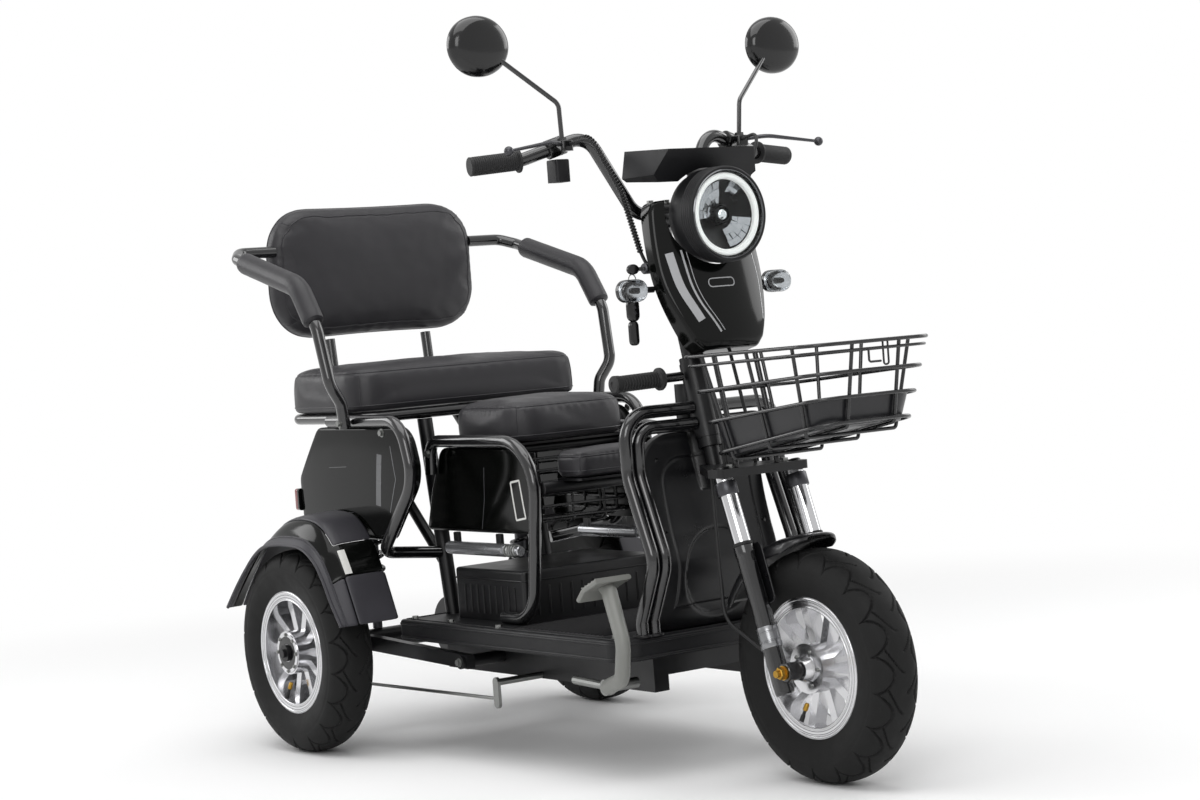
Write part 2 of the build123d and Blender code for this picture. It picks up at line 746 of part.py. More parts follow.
with BuildPart() as main_frame:
    with BuildSketch(Plane.XY.offset(RAIL_TOP - RAIL_DEPTH)):
        for left in (-RAIL_SPREAD, RAIL_SPREAD):
            with Locations(spot(485, left, 0)):
                Rectangle(630, RAIL_WIDTH)
    extrude(amount=RAIL_DEPTH)
    with BuildSketch(Plane.XY.offset(RAIL_TOP - 24)):
        for ahead in (200, 478, 785):
            with Locations(spot(ahead, 0, 0)):
                Rectangle(30, 2 * RAIL_SPREAD + RAIL_WIDTH)
    extrude(amount=36)
    for left in (-1, 1):
        bar(
            mirrored(UPRIGHT_FOOT, left),
            mirrored(UPRIGHT_HEAD, left),
            UPRIGHT_RADIUS,
        )
        bar(
            mirrored((168, RAIL_SPREAD, 320), left),
            mirrored((-112, RAIL_SPREAD, UPRIGHT_HEAD[2]), left),
            10,
        )
    bar(spot(*DOWN_TUBE_HEAD), spot(*DOWN_TUBE_FOOT), DOWN_TUBE_RADIUS)
    with BuildSketch(HEAD):
        Circle(HEAD_RADIUS)
    extrude(amount=HEAD_LENGTH)
    with BuildSketch(HEAD.offset(-10)):
        Circle(STEM_RADIUS + 0.08)
    extrude(amount=HEAD_LENGTH + 20, mode=Mode.SUBTRACT)
    with BuildSketch(Plane.XY.offset(UPRIGHT_HEAD[2])):
        with Locations(spot(0, 0, 0)):
            Rectangle(500, 500)
    extrude(amount=20, mode=Mode.SUBTRACT)
    bar(
        spot(PIVOT_AT[0], -PIVOT_HALF, PIVOT_AT[1]),
        spot(PIVOT_AT[0], PIVOT_HALF, PIVOT_AT[1]),
        PIVOT_RADIUS + SEAT_GAP,
        mode=Mode.SUBTRACT,
    )
keep(main_frame, "main_frame")

with BuildPart() as swing_arm_pivot:
    bar(
        spot(PIVOT_AT[0], -PIVOT_HALF, PIVOT_AT[1]),
        spot(PIVOT_AT[0], PIVOT_HALF, PIVOT_AT[1]),
        PIVOT_RADIUS,
    )
keep(swing_arm_pivot, "swing_arm_pivot")

with BuildPart() as footboard:
    with BuildSketch(Plane.XY.offset(FLOOR_TOP - FLOOR_THICK)) as floor:
        with Locations(spot((FLOOR_REAR + FLOOR_FRONT) / 2, 0, 0)):
            Rectangle(FLOOR_FRONT - FLOOR_REAR, 2 * FLOOR_HALF)
        fillet(floor.vertices().group_by(Axis.X)[-1], 42)
        fillet(floor.vertices().group_by(Axis.X)[0], 10)
    extrude(amount=FLOOR_THICK)
    fillet(edges().group_by(Axis.Z)[-1], 5)
    with BuildSketch(Plane.XY.offset(FLOOR_TOP - 2)):
        with Locations(spot(620, 0, 0)):
            RectangleRounded(270, 2 * FLOOR_HALF - 44, 12)
    extrude(amount=4, mode=Mode.SUBTRACT)
    bar(
        spot(*DOWN_TUBE_HEAD),
        spot(*DOWN_TUBE_FOOT),
        DOWN_TUBE_RADIUS + 2 * SEAT_GAP,
        mode=Mode.SUBTRACT,
    )
    for side in (-1, 1):
        bar(
            mirrored(UPRIGHT_FOOT, side),
            mirrored(UPRIGHT_HEAD, side),
            UPRIGHT_RADIUS + 2 * SEAT_GAP,
            mode=Mode.SUBTRACT,
        )
keep(footboard, "footboard")

HOOP_RADIUS = FRAME_TUBE / 2
MID_HOOP = 160.0
BATTERY_HALF = MID_HOOP - HOOP_RADIUS - SEAT_GAP
with BuildPart() as battery_case:
    with BuildSketch(Plane.XY.offset(FLOOR_TOP + SEAT_GAP)):
        with Locations(spot(361, 0, 0)):
            RectangleRounded(222, 2 * BATTERY_HALF, 8)
    extrude(amount=92)
    fillet(edges().group_by(Axis.Z)[-1], 6)
keep(battery_case, "battery_case")

# ---------------------------------------------------------------- leg shield and hoops
SHIELD_HALF = 124.6
HOOP_IN_HIGH = 577.0
SHIELD_TOP = HOOP_IN_HIGH - FRAME_TUBE / 2 - 2 * SEAT_GAP
SHIELD_LOW = FLOOR_TOP + SEAT_GAP
SHIELD_PLANE = Plane(origin=spot(780, 0, 0), x_dir=(0, 1, 0), z_dir=(1, 0, 0))
HOOP_OUT = 160.0
HOOP_IN = 136.0
HOOP_BUTT = HEAD_RADIUS + 0.5

with BuildPart() as leg_shield:
    with BuildSketch(SIDE.offset(-SHIELD_HALF)):
        with BuildLine():
            Polyline(
                (816, SHIELD_TOP),
                (812, 548),
                (832, 420),
                (850, 357),
                (847, 318),
                (828, 270),
                (816, SHIELD_LOW),
                (800, SHIELD_LOW),
                (812, 272),
                (833, 322),
                (836, 354),
                (818, 418),
                (799, 548),
                (801, SHIELD_TOP),
                close=True,
            )
        make_face()
    extrude(amount=2 * SHIELD_HALF)
    with BuildSketch(SHIELD_PLANE) as outline:
        with Locations((0, (SHIELD_TOP + SHIELD_LOW) / 2)):
            Rectangle(2 * SHIELD_HALF, SHIELD_TOP - SHIELD_LOW)
        fillet(outline.vertices().group_by(Axis.Z)[-1], 60)
    extrude(amount=100, mode=Mode.INTERSECT)
    with BuildSketch(HEAD.offset(-90)):
        Circle(CROWN_SWING + MOVING_GAP)
    extrude(amount=240, mode=Mode.SUBTRACT)
keep(leg_shield, "leg_shield")

with BuildPart() as front_hoops:
    for left, high, bends in ((HOOP_OUT, 603, [46, 80, 52, 20]), (HOOP_IN, HOOP_IN_HIGH, [30, 80, 52, 20])):
        tube(
            [
                spot(steer_ahead(high), HOOP_BUTT, high),
                spot(816, left, high),
                spot(816, left, 500),
                spot(872, left, 360),
                spot(825, left, 264),
                spot(825, left, FLOOR_TOP + SEAT_GAP),
            ],
            HOOP_RADIUS,
            bends,
        )
    both_sides()
keep(front_hoops, "front_hoops")

REAR_HOOP = 262.0
MID_HOOP_LOW = FLOOR_TOP + HOOP_RADIUS + SEAT_GAP
REAR_HOOP_END = 352.0
with BuildPart() as side_hoops:
    tube(
        [
            spot(40, REAR_HOOP, 606),
            spot(285, REAR_HOOP, 606),
            spot(318, REAR_HOOP, 500),
            spot(196, REAR_HOOP, 368),
            spot(upright_ahead(REAR_HOOP_END) + 4, RAIL_SPREAD + UPRIGHT_RADIUS + 2.6, REAR_HOOP_END),
        ],
        HOOP_RADIUS,
        [58, 70, 30],
    )
    tube(
        [
            spot(214, MID_HOOP, 500),
            spot(218, MID_HOOP, 560),
            spot(556, MID_HOOP, 560),
            spot(514, MID_HOOP, MID_HOOP_LOW),
            spot(421, MID_HOOP, MID_HOOP_LOW),
        ],
        HOOP_RADIUS,
        [30, 88, 58],
    )
    both_sides()
keep(side_hoops, "side_hoops")

PANEL_OUT = 260.0
PANEL_THICK = 28.0
with BuildPart() as rear_side_panels:
    with BuildSketch(SIDE.offset(-PANEL_OUT)):
        with BuildLine():
            FilletPolyline(
                (-22, 594.4),
                (-105, 500),
                (-105, 420),
                (-76, 394),
                (199, 388),
                (305.2, 502.9),
                (276.7, 594.4),
                radius=[24, 24, 24, 24, 24, 62, 50],
                close=True,
            )
        make_face()
    extrude(amount=PANEL_THICK)
    both_sides()
keep(rear_side_panels, "rear_side_panels")

with BuildPart() as mid_panels:
    with BuildSketch(SIDE.offset(-(MID_HOOP - HOOP_RADIUS - SEAT_GAP))):
        with BuildLine():
            FilletPolyline(
                (160, 395),
                (524, 395),
                (543, 547),
                (228, 547),
                (188, 470),
                radius=[8, 16, 84, 24, 60],
                close=True,
            )
        make_face()
    extrude(amount=12)
    both_sides()
keep(mid_panels, "mid_panels")

with BuildPart() as side_struts:
    with BuildSketch(Plane(origin=spot(240, 148, 366), z_dir=(1, 0, 0))):
        Circle(12)
    extrude(amount=230)
    with BuildSketch(Plane(origin=spot(425, 148, 366), z_dir=(1, 0, 0))):
        Circle(15)
    extrude(amount=14)
    for ahead in (262, 400):
        with BuildSketch(SIDE.offset(-148)):
            with Locations((ahead, 380)):
                Rectangle(16, 29.4)
        extrude(amount=7)
    both_sides()
keep(side_struts, "side_struts")

# ---------------------------------------------------------------- rear axle and fenders
AXLE_TUBE = 20.0
HOUSING_HALF = HALF_TRACK - HUB_HALF - MOVING_GAP
with BuildPart() as rear_axle:
    bar(spot(0, -HOUSING_HALF, TYRE_RADIUS), spot(0, HOUSING_HALF, TYRE_RADIUS), AXLE_TUBE)
    reach = HALF_TRACK + HUB_HALF + 14
    bar(spot(0, -reach, TYRE_RADIUS), spot(0, reach, TYRE_RADIUS), SPINDLE_RADIUS)
    for side in (-1, 1):
        with BuildSketch(wheel_plane(side * 201 + 8, 0)):
            with BuildLine():
                Polyline(
                    (0, 14),
                    (PIVOT_AT[0] + 14, PIVOT_AT[1] - TYRE_RADIUS + 12),
                    (PIVOT_AT[0] + 14, PIVOT_AT[1] - TYRE_RADIUS - 12),
                    (0, -14),
                    close=True,
                )
            make_face()
        extrude(amount=16)
        bar(
            spot(PIVOT_AT[0], side * 190, PIVOT_AT[1]),
            spot(PIVOT_AT[0], side * 216, PIVOT_AT[1]),
            12,
        )
        start = side * (HALF_TRACK + HUB_HALF + SEAT_GAP)
        bar(spot(0, start, TYRE_RADIUS), spot(0, start + side * 8, TYRE_RADIUS), 15)
    bar(spot(0, -9, TYRE_RADIUS), spot(0, 112, TYRE_RADIUS), 61, mode=Mode.SUBTRACT)
    bar(spot(0, -10, TYRE_RADIUS), spot(0, 113, TYRE_RADIUS), AXLE_TUBE)
keep(rear_axle, "rear_axle")

with BuildPart() as drive_motor:
    bar(spot(0, -8, TYRE_RADIUS), spot(0, 108, TYRE_RADIUS), 60)
    bar(
        spot(0, -12, TYRE_RADIUS),
        spot(0, 112, TYRE_RADIUS),
        AXLE_TUBE + SEAT_GAP,
        mode=Mode.SUBTRACT,
    )
keep(drive_motor, "drive_motor")

SHOCK_HALF = 170.0
SHOCK_HEAD = BENCH_BAR_HIGH - BENCH_BAR_RADIUS - SEAT_GAP
with BuildPart() as rear_shocks:
    bar(
        spot(0, SHOCK_HALF, TYRE_RADIUS + AXLE_TUBE + SEAT_GAP),
        spot(0, SHOCK_HALF, SHOCK_HEAD),
        9,
    )
    bar(spot(0, SHOCK_HALF, 250), spot(0, SHOCK_HALF, 540), 24)
    both_sides()
keep(rear_shocks, "rear_shocks")

FENDER_IN = PANEL_OUT + SEAT_GAP
FENDER_OUT = HALF_TRACK + TYRE_WIDTH / 2 + 11.0
FENDER_SKIN = 5.0
FENDER_LINE = (
    (-208, 262),
    (-165, 325),
    (-75, 412),
    (10, 444),
    (104, 438),
    (172, 386),
    (214, 300),
    (236, 247),
)
FENDER_OPENING = (
    (-240, 200),
    (-204, 262),
    (-150, 330),
    (-92, 374),
    (-20, 389),
    (100, 385),
    (172, 322),
    (200, 278),
    (226, 256),
    (260, 200),
)


with BuildPart() as rear_fenders:
    for inside in (0.0, FENDER_SKIN):
        with BuildSketch(SIDE.offset(-FENDER_OUT + inside)) as outline:
            with BuildLine():
                skin_line = FilletPolyline(*FENDER_LINE, radius=40)
                Line(skin_line @ 1, skin_line @ 0)
            make_face()
            if inside:
                offset(amount=-inside, kind=Kind.INTERSECTION, mode=Mode.REPLACE)
        extrude(
            amount=FENDER_OUT - FENDER_IN - 2 * inside,
            mode=Mode.SUBTRACT if inside else Mode.ADD,
        )
    with BuildSketch(SIDE.offset(-FENDER_OUT - 10)):
        with BuildLine():
            FilletPolyline(*FENDER_OPENING, radius=30, close=True)
        make_face()
    extrude(amount=FENDER_OUT - FENDER_IN + 40, mode=Mode.SUBTRACT)
    both_sides()
keep(rear_fenders, "rear_fenders")

with BuildPart() as tail_lamps:
    with BuildSketch(Plane(origin=spot(-105 - SEAT_GAP, 246, 458), z_dir=(-1, 0, 0))):
        RectangleRounded(42, 26, 5)
    extrude(amount=16)
    both_sides()
keep(tail_lamps, "tail_lamps")

# ---------------------------------------------------------------- rear bench
POST_HALF = 110.0
BENCH_BAR_HALF = REAR_HOOP - HOOP_RADIUS - BENCH_BAR_RADIUS - SEAT_GAP
BENCH_BAR_REAR = -128.0
with BuildPart() as bench_frame:
    with BuildLine(mode=Mode.PRIVATE) as loop:
        FilletPolyline(
            spot(BENCH_BAR_REAR, -BENCH_BAR_HALF, BENCH_BAR_HIGH),
            spot(BENCH_BAR_FRONT, -BENCH_BAR_HALF, BENCH_BAR_HIGH),
            spot(BENCH_BAR_FRONT, BENCH_BAR_HALF, BENCH_BAR_HIGH),
            spot(BENCH_BAR_REAR, BENCH_BAR_HALF, BENCH_BAR_HIGH),
            radius=24,
            close=True,
        )
    route = loop.wire()
    with BuildSketch(Plane(origin=route @ 0, z_dir=route % 0)) as ring:
        Circle(BENCH_BAR_RADIUS)
    sweep(ring.sketch, path=route)
    for ahead in (0, BENCH_BAR_REAR + 14):
        bar(
            spot(ahead, -BENCH_BAR_HALF, BENCH_BAR_HIGH),
            spot(ahead, BENCH_BAR_HALF, BENCH_BAR_HIGH),
            BENCH_BAR_RADIUS,
        )
    for side in (-1, 1):
        tube(
            [
                spot(BENCH_BAR_REAR, side * POST_HALF, BENCH_BAR_HIGH),
                spot(-182, side * POST_HALF, BENCH_BAR_HIGH),
                spot(-199, side * POST_HALF, BACK_LOW - SEAT_GAP - 1.2),
            ],
            BENCH_BAR_RADIUS,
            [34],
        )
keep(bench_frame, "bench_frame")

with BuildPart() as rear_bench:
    with BuildSketch(Plane.XY.offset(BENCH_LOW)):
        with Locations(spot((BENCH_REAR + BENCH_FRONT) / 2, 0, 0)):
            RectangleRounded(BENCH_FRONT - BENCH_REAR, 2 * BENCH_HALF, CUSHION_CORNER)
    extrude(amount=BENCH_THICK)
    fillet(edges().group_by(Axis.Z)[-1], 20)
    fillet(edges().group_by(Axis.Z)[0], 8)
keep(rear_bench, "rear_bench")

BACK_REAR = -TAIL_OVERHANG
with BuildPart() as backrest:
    with BuildSketch(Plane.YZ.offset(REAR_X + BACK_REAR)):
        with Locations((0, (BACK_LOW + BACK_HIGH) / 2)):
            RectangleRounded(2 * BACK_HALF, BACK_HIGH - BACK_LOW, CUSHION_CORNER)
    extrude(amount=BACK_THICK)
    fillet(edges().group_by(Axis.X)[-1], 18)
    fillet(edges().group_by(Axis.X)[0], 10)
keep(backrest, "backrest")

ARM_OUT = 320.0
ARM_TUBE = 11.0
ARM_PAD = 21.0
ARM_ROUTE = [
    (-192, BACK_HALF + SEAT_GAP, 931),
    (-192, 298, 931),
    (-160, ARM_OUT, 919),
    (65, ARM_OUT, 857),
    (120, ARM_OUT, 778),
    (141, 314, 675),
    (134, REAR_HOOP + HOOP_RADIUS + ARM_TUBE + 6, 640),
    (132, REAR_HOOP + HOOP_RADIUS + ARM_TUBE + SEAT_GAP, 594),
]
with BuildPart() as armrest_tubes:
    tube([spot(*place) for place in ARM_ROUTE], ARM_TUBE, [24, 24, 60, 50, 40, 30])
    both_sides()
keep(armrest_tubes, "armrest_tubes")

with BuildPart() as armrest_pads:
    tube(
        [spot(-132, ARM_OUT, 911.3), spot(65, ARM_OUT, 857), spot(113, ARM_OUT, 788)],
        ARM_PAD,
        [60],
    )
    with BuildLine(mode=Mode.PRIVATE) as core:
        FilletPolyline(*[spot(*place) for place in ARM_ROUTE[2:5]], radius=60)
    core_route = core.wire()
    with BuildSketch(Plane(origin=core_route @ 0, z_dir=core_route % 0)) as ring:
        Circle(ARM_TUBE + 0.3)
    sweep(ring.sketch, path=core_route, mode=Mode.SUBTRACT)
    both_sides()
keep(armrest_pads, "armrest_pads")

# ---------------------------------------------------------------- driver's and child's seats
PAN_HALF = MID_HOOP - HOOP_RADIUS - SEAT_GAP
PAN_UNDER = SADDLE_LOW - SEAT_GAP - 4.0
MID_PANEL_IN = PAN_HALF - 12.0
CHILD_LOW = 489.3
with BuildPart() as seat_mount:
    with BuildSketch(Plane.XY.offset(PAN_UNDER)):
        with Locations(spot(345, 0, 0)):
            Rectangle(180, 2 * PAN_HALF)
    extrude(amount=4)
    for ahead in (275, 415):
        bar(
            spot(ahead, -MID_PANEL_IN + SEAT_GAP, PAN_UNDER - 8),
            spot(ahead, MID_PANEL_IN - SEAT_GAP, PAN_UNDER - 8),
            9,
        )
keep(seat_mount, "seat_mount")

with BuildPart() as child_seat_mount:
    bar(
        spot(532, -MID_PANEL_IN + SEAT_GAP, CHILD_LOW - 14.3),
        spot(532, MID_PANEL_IN - SEAT_GAP, CHILD_LOW - 14.3),
        11,
    )
    with BuildSketch(Plane.XY.offset(CHILD_LOW - SEAT_GAP - 4)):
        with Locations(spot(550, 0, 0)):
            RectangleRounded(74, 190, 10)
    extrude(amount=4)
keep(child_seat_mount, "child_seat_mount")

MESH_WIRE = 2.5
MESH_LOW = 405.0
MESH_REAR = 219.0
MESH_FRONT = 426.0
MESH_HALF = 120.0
MESH_STEP = 4.0
with BuildPart() as seat_basket:
    for ring in range(6):
        high = MESH_LOW + 8 + 21.5 * ring
        with BuildLine(mode=Mode.PRIVATE) as loop:
            FilletPolyline(
                spot(MESH_REAR - MESH_STEP, -MESH_HALF - MESH_STEP, high),
                spot(MESH_FRONT + MESH_STEP, -MESH_HALF - MESH_STEP, high),
                spot(MESH_FRONT + MESH_STEP, MESH_HALF + MESH_STEP, high),
                spot(MESH_REAR - MESH_STEP, MESH_HALF + MESH_STEP, high),
                radius=24,
                close=True,
            )
        route = loop.wire()
        with BuildSketch(Plane(origin=route @ 0, z_dir=route % 0)) as circle:
            Circle(MESH_WIRE)
        sweep(circle.sketch, path=route)
    for ahead in (295, 345, 395):
        tube(
            [
                spot(ahead, -MESH_HALF, PAN_UNDER - SEAT_GAP),
                spot(ahead, -MESH_HALF, MESH_LOW),
                spot(ahead, MESH_HALF, MESH_LOW),
                spot(ahead, MESH_HALF, PAN_UNDER - SEAT_GAP),
            ],
            MESH_WIRE,
            [12, 12],
        )
    for left in (-70, 0, 70):
        tube(
            [
                spot(MESH_REAR, left, high),
                spot(MESH_REAR, left, MESH_LOW - MESH_STEP),
                spot(MESH_FRONT, left, MESH_LOW - MESH_STEP),
                spot(MESH_FRONT, left, high),
            ],
            MESH_WIRE,
            [12, 12],
        )
keep(seat_basket, "seat_basket")

with BuildPart() as driver_seat:
    with BuildSketch(Plane.XY.offset(SADDLE_LOW)):
        with Locations(spot((SADDLE_REAR + SADDLE_FRONT) / 2, 0, 0)):
            RectangleRounded(SADDLE_FRONT - SADDLE_REAR, 2 * SADDLE_HALF, CUSHION_CORNER)
    extrude(amount=SADDLE_THICK)
    fillet(edges().group_by(Axis.Z)[-1], 20)
    fillet(edges().group_by(Axis.Z)[0], 8)
keep(driver_seat, "driver_seat")

with BuildPart() as child_seat:
    with BuildSketch(Plane.XY.offset(CHILD_LOW)):
        with Locations(spot(550, 0, 0)):
            RectangleRounded(82, 200, 24)
    extrude(amount=54)
    fillet(edges().group_by(Axis.Z)[-1], 14)
    fillet(edges().group_by(Axis.Z)[0], 5)
keep(child_seat, "child_seat")

# ---------------------------------------------------------------- brakes
PEDAL_LEFT = -208.0
RAIL_SIDE = RAIL_SPREAD + RAIL_WIDTH / 2
with BuildPart() as brake_pedal:
    bar(spot(785, -RAIL_SIDE - SEAT_GAP, 160), spot(785, PEDAL_LEFT, 160), 9)
    tube(
        [
            spot(785, PEDAL_LEFT, 160),
            spot(858, -228, 186),
            spot(862, -232, 240),
            spot(798, PEDAL_LEFT, 328),
        ],
        13,
        [20, 30],
    )
    with BuildSketch(SIDE.offset(-PEDAL_LEFT - 35)):
        with BuildLine() as tread:
            FilletPolyline((822, 340), (780, 322), (764, 304), radius=24)
        trace(tread.line, 9)
    extrude(amount=72)
    bar(spot(785, PEDAL_LEFT, 161), spot(690, PEDAL_LEFT, 165), 7)
keep(brake_pedal, "brake_pedal")

with BuildPart() as brake_rod:
    bar(spot(12, PEDAL_LEFT - 12, 112), spot(470, PEDAL_LEFT - 12, 118), 3)
    with BuildSketch(SIDE.offset(-PEDAL_LEFT + 9)):
        with Locations((470, 128)):
            SlotOverall(54, 16, rotation=90)
    extrude(amount=6)
    bar(spot(470, -RAIL_SIDE - SEAT_GAP, 146), spot(470, PEDAL_LEFT - 12, 146), 6)
    with BuildSketch(SIDE.offset(-PEDAL_LEFT + 9)):
        with Locations((12, 136)):
            SlotOverall(62, 16, rotation=90)
    extrude(amount=6)
keep(brake_rod, "brake_rod")

PARK_ROOT = Vector(REAR_X + steer_ahead(656), -HEAD_RADIUS - SEAT_GAP, 656)
with BuildPart() as parking_lever:
    end = spot(800, -166, 652)
    bar(PARK_ROOT, end, 8)
    run = (end - PARK_ROOT).normalized()
    bar(end - run * 96, end - run * 90, 19)
    bar(end - run * 92, end, 14)
keep(parking_lever, "parking_lever")

# ---------------------------------------------------------------- export
os.makedirs("parts", exist_ok=True)
for name, piece in PIECES.items():
    export_step(piece.part, f"parts/{name}.step")
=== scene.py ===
"""Looks of an electric tricycle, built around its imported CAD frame.

Metres. +X points forward, +Y to the rider's left, +Z up. Places along the vehicle are
given as a distance ahead of the rear axle, to the left of the centre plane and up.
"""

import json
import logging
import math
from dataclasses import dataclass, field
from enum import Enum
from functools import partial
from typing import Any, Callable, Iterable, Sequence

import bmesh
import bpy
from mathutils import Matrix, Vector, noise
from mathutils.bvhtree import BVHTree


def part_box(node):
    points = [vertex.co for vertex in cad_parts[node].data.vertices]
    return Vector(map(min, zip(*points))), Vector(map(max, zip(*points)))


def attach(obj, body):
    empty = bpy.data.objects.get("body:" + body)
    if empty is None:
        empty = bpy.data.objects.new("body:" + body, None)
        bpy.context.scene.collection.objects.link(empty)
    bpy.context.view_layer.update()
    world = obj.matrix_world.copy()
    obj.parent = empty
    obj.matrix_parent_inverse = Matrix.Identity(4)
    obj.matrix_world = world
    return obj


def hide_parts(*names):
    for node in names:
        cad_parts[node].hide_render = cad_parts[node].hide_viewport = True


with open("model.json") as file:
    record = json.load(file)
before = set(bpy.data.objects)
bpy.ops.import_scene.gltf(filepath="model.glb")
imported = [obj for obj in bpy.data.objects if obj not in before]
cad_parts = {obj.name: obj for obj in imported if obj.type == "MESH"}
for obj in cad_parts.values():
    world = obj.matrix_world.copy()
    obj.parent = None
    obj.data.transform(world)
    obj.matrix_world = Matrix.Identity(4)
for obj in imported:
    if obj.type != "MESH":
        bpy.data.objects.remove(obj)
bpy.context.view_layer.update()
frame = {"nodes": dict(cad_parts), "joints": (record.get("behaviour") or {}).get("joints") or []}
LOG = logging.getLogger("tricycle")
MM = 0.001
JOINTS = {joint["name"]: joint for joint in frame["joints"]}
REAR_X = JOINTS["rear_wheel_left"]["pos_m"][0]
SIDES = (1.0, -1.0)
FORWARD, LEFT, UP = (Vector(way) for way in ((1, 0, 0), (0, 1, 0), (0, 0, 1)))
# Faces that meet at more than this many degrees keep a sharp edge.
SHARP_EDGE = 35
CLOTH_FRAMES = 20
# How far a film's top stands above the surface below it, in metres.
FILM_LIFT = 0.00035
# Front axle, foot of the steering axis and middle of the bar clamp: ahead and up, in millimetres.
AXLE_AHEAD, AXLE_HIGH = 1090, 187.5
STEER_AHEAD, STEER_HIGH = 832, 552
BAR_AHEAD, BAR_HIGH = 741.25, 930
HEAD_LEAN = math.radians(13.5)
HEAD_UP = Vector((-math.sin(HEAD_LEAN), 0, math.cos(HEAD_LEAN)))
HEAD_OUT = Vector((math.cos(HEAD_LEAN), 0, math.sin(HEAD_LEAN)))
FORK_LEAN = math.radians(19)
FORK_UP = Vector((-math.sin(FORK_LEAN), 0, math.cos(FORK_LEAN)))

Point = tuple[float, float, float]
Pair = tuple[float, float]
Pairs = Sequence[Pair]
Route = Sequence[Vector]
Shape = bmesh.types.BMesh
Item = bpy.types.Object
Tree = bpy.types.NodeTree
Socket = bpy.types.NodeSocket


class Body(str, Enum):
    """Rigid bodies of the frame."""

    CHASSIS = "chassis"
    STEERING = "steering"
    FRONT_WHEEL = "front_wheel"
    REAR_LEFT = "rear_wheel_left"
    REAR_RIGHT = "rear_wheel_right"


class Relief(Enum):
    """Kinds of fine surface relief."""

    GRAIN = "grain"
    LEATHER = "leather"
    BRUSHED = "brushed"
    SMOOTH = "smooth"


# ---------------------------------------------------------------- small tools
def linear(code: str) -> tuple[float, float, float, float]:
    """Turn an sRGB hex colour into a linear one.

    Args:
        code: six hex digits with a leading #.

    Returns:
        Linear red, green and blue, with an alpha of 1.
    """
    parts = [int(code[i : i + 2], 16) / 255 for i in (1, 3, 5)]
    levels = [c / 12.92 if c <= 0.04045 else ((c + 0.055) / 1.055) ** 2.4 for c in parts]
    return (levels[0], levels[1], levels[2], 1.0)


def add_node(
    tree: Tree, kind: str, settings: dict[Any, Any] | None = None, links: dict[Any, Socket] | None = None,
) -> bpy.types.Node:
    """Add a node with its settings and links.

    Args:
        tree: node tree that receives the node.
        kind: the node's type name.
        settings: values by attribute or input name.
        links: output sockets by the input that they feed.

    Returns:
        The new node.
    """
    node = tree.nodes.new(kind)
    for key, value in (settings or {}).items():
        if isinstance(key, str) and hasattr(node, key):
            setattr(node, key, value)
        else:
            node.inputs[key].default_value = value
    for key, socket in (links or {}).items():
        tree.links.new(socket, node.inputs[key])
    return node


def blank_tree(owner: bpy.types.Material | bpy.types.World) -> Tree:
    """Turn on the nodes of a material or a world and empty its tree."""
    owner.use_nodes = True
    owner.node_tree.nodes.clear()
    return owner.node_tree


def linked(name: str, data: bpy.types.ID) -> Item:
    """New object of some data, linked to the scene."""
    made = bpy.data.objects.new(name, data)
    bpy.context.scene.collection.objects.link(made)
    return made


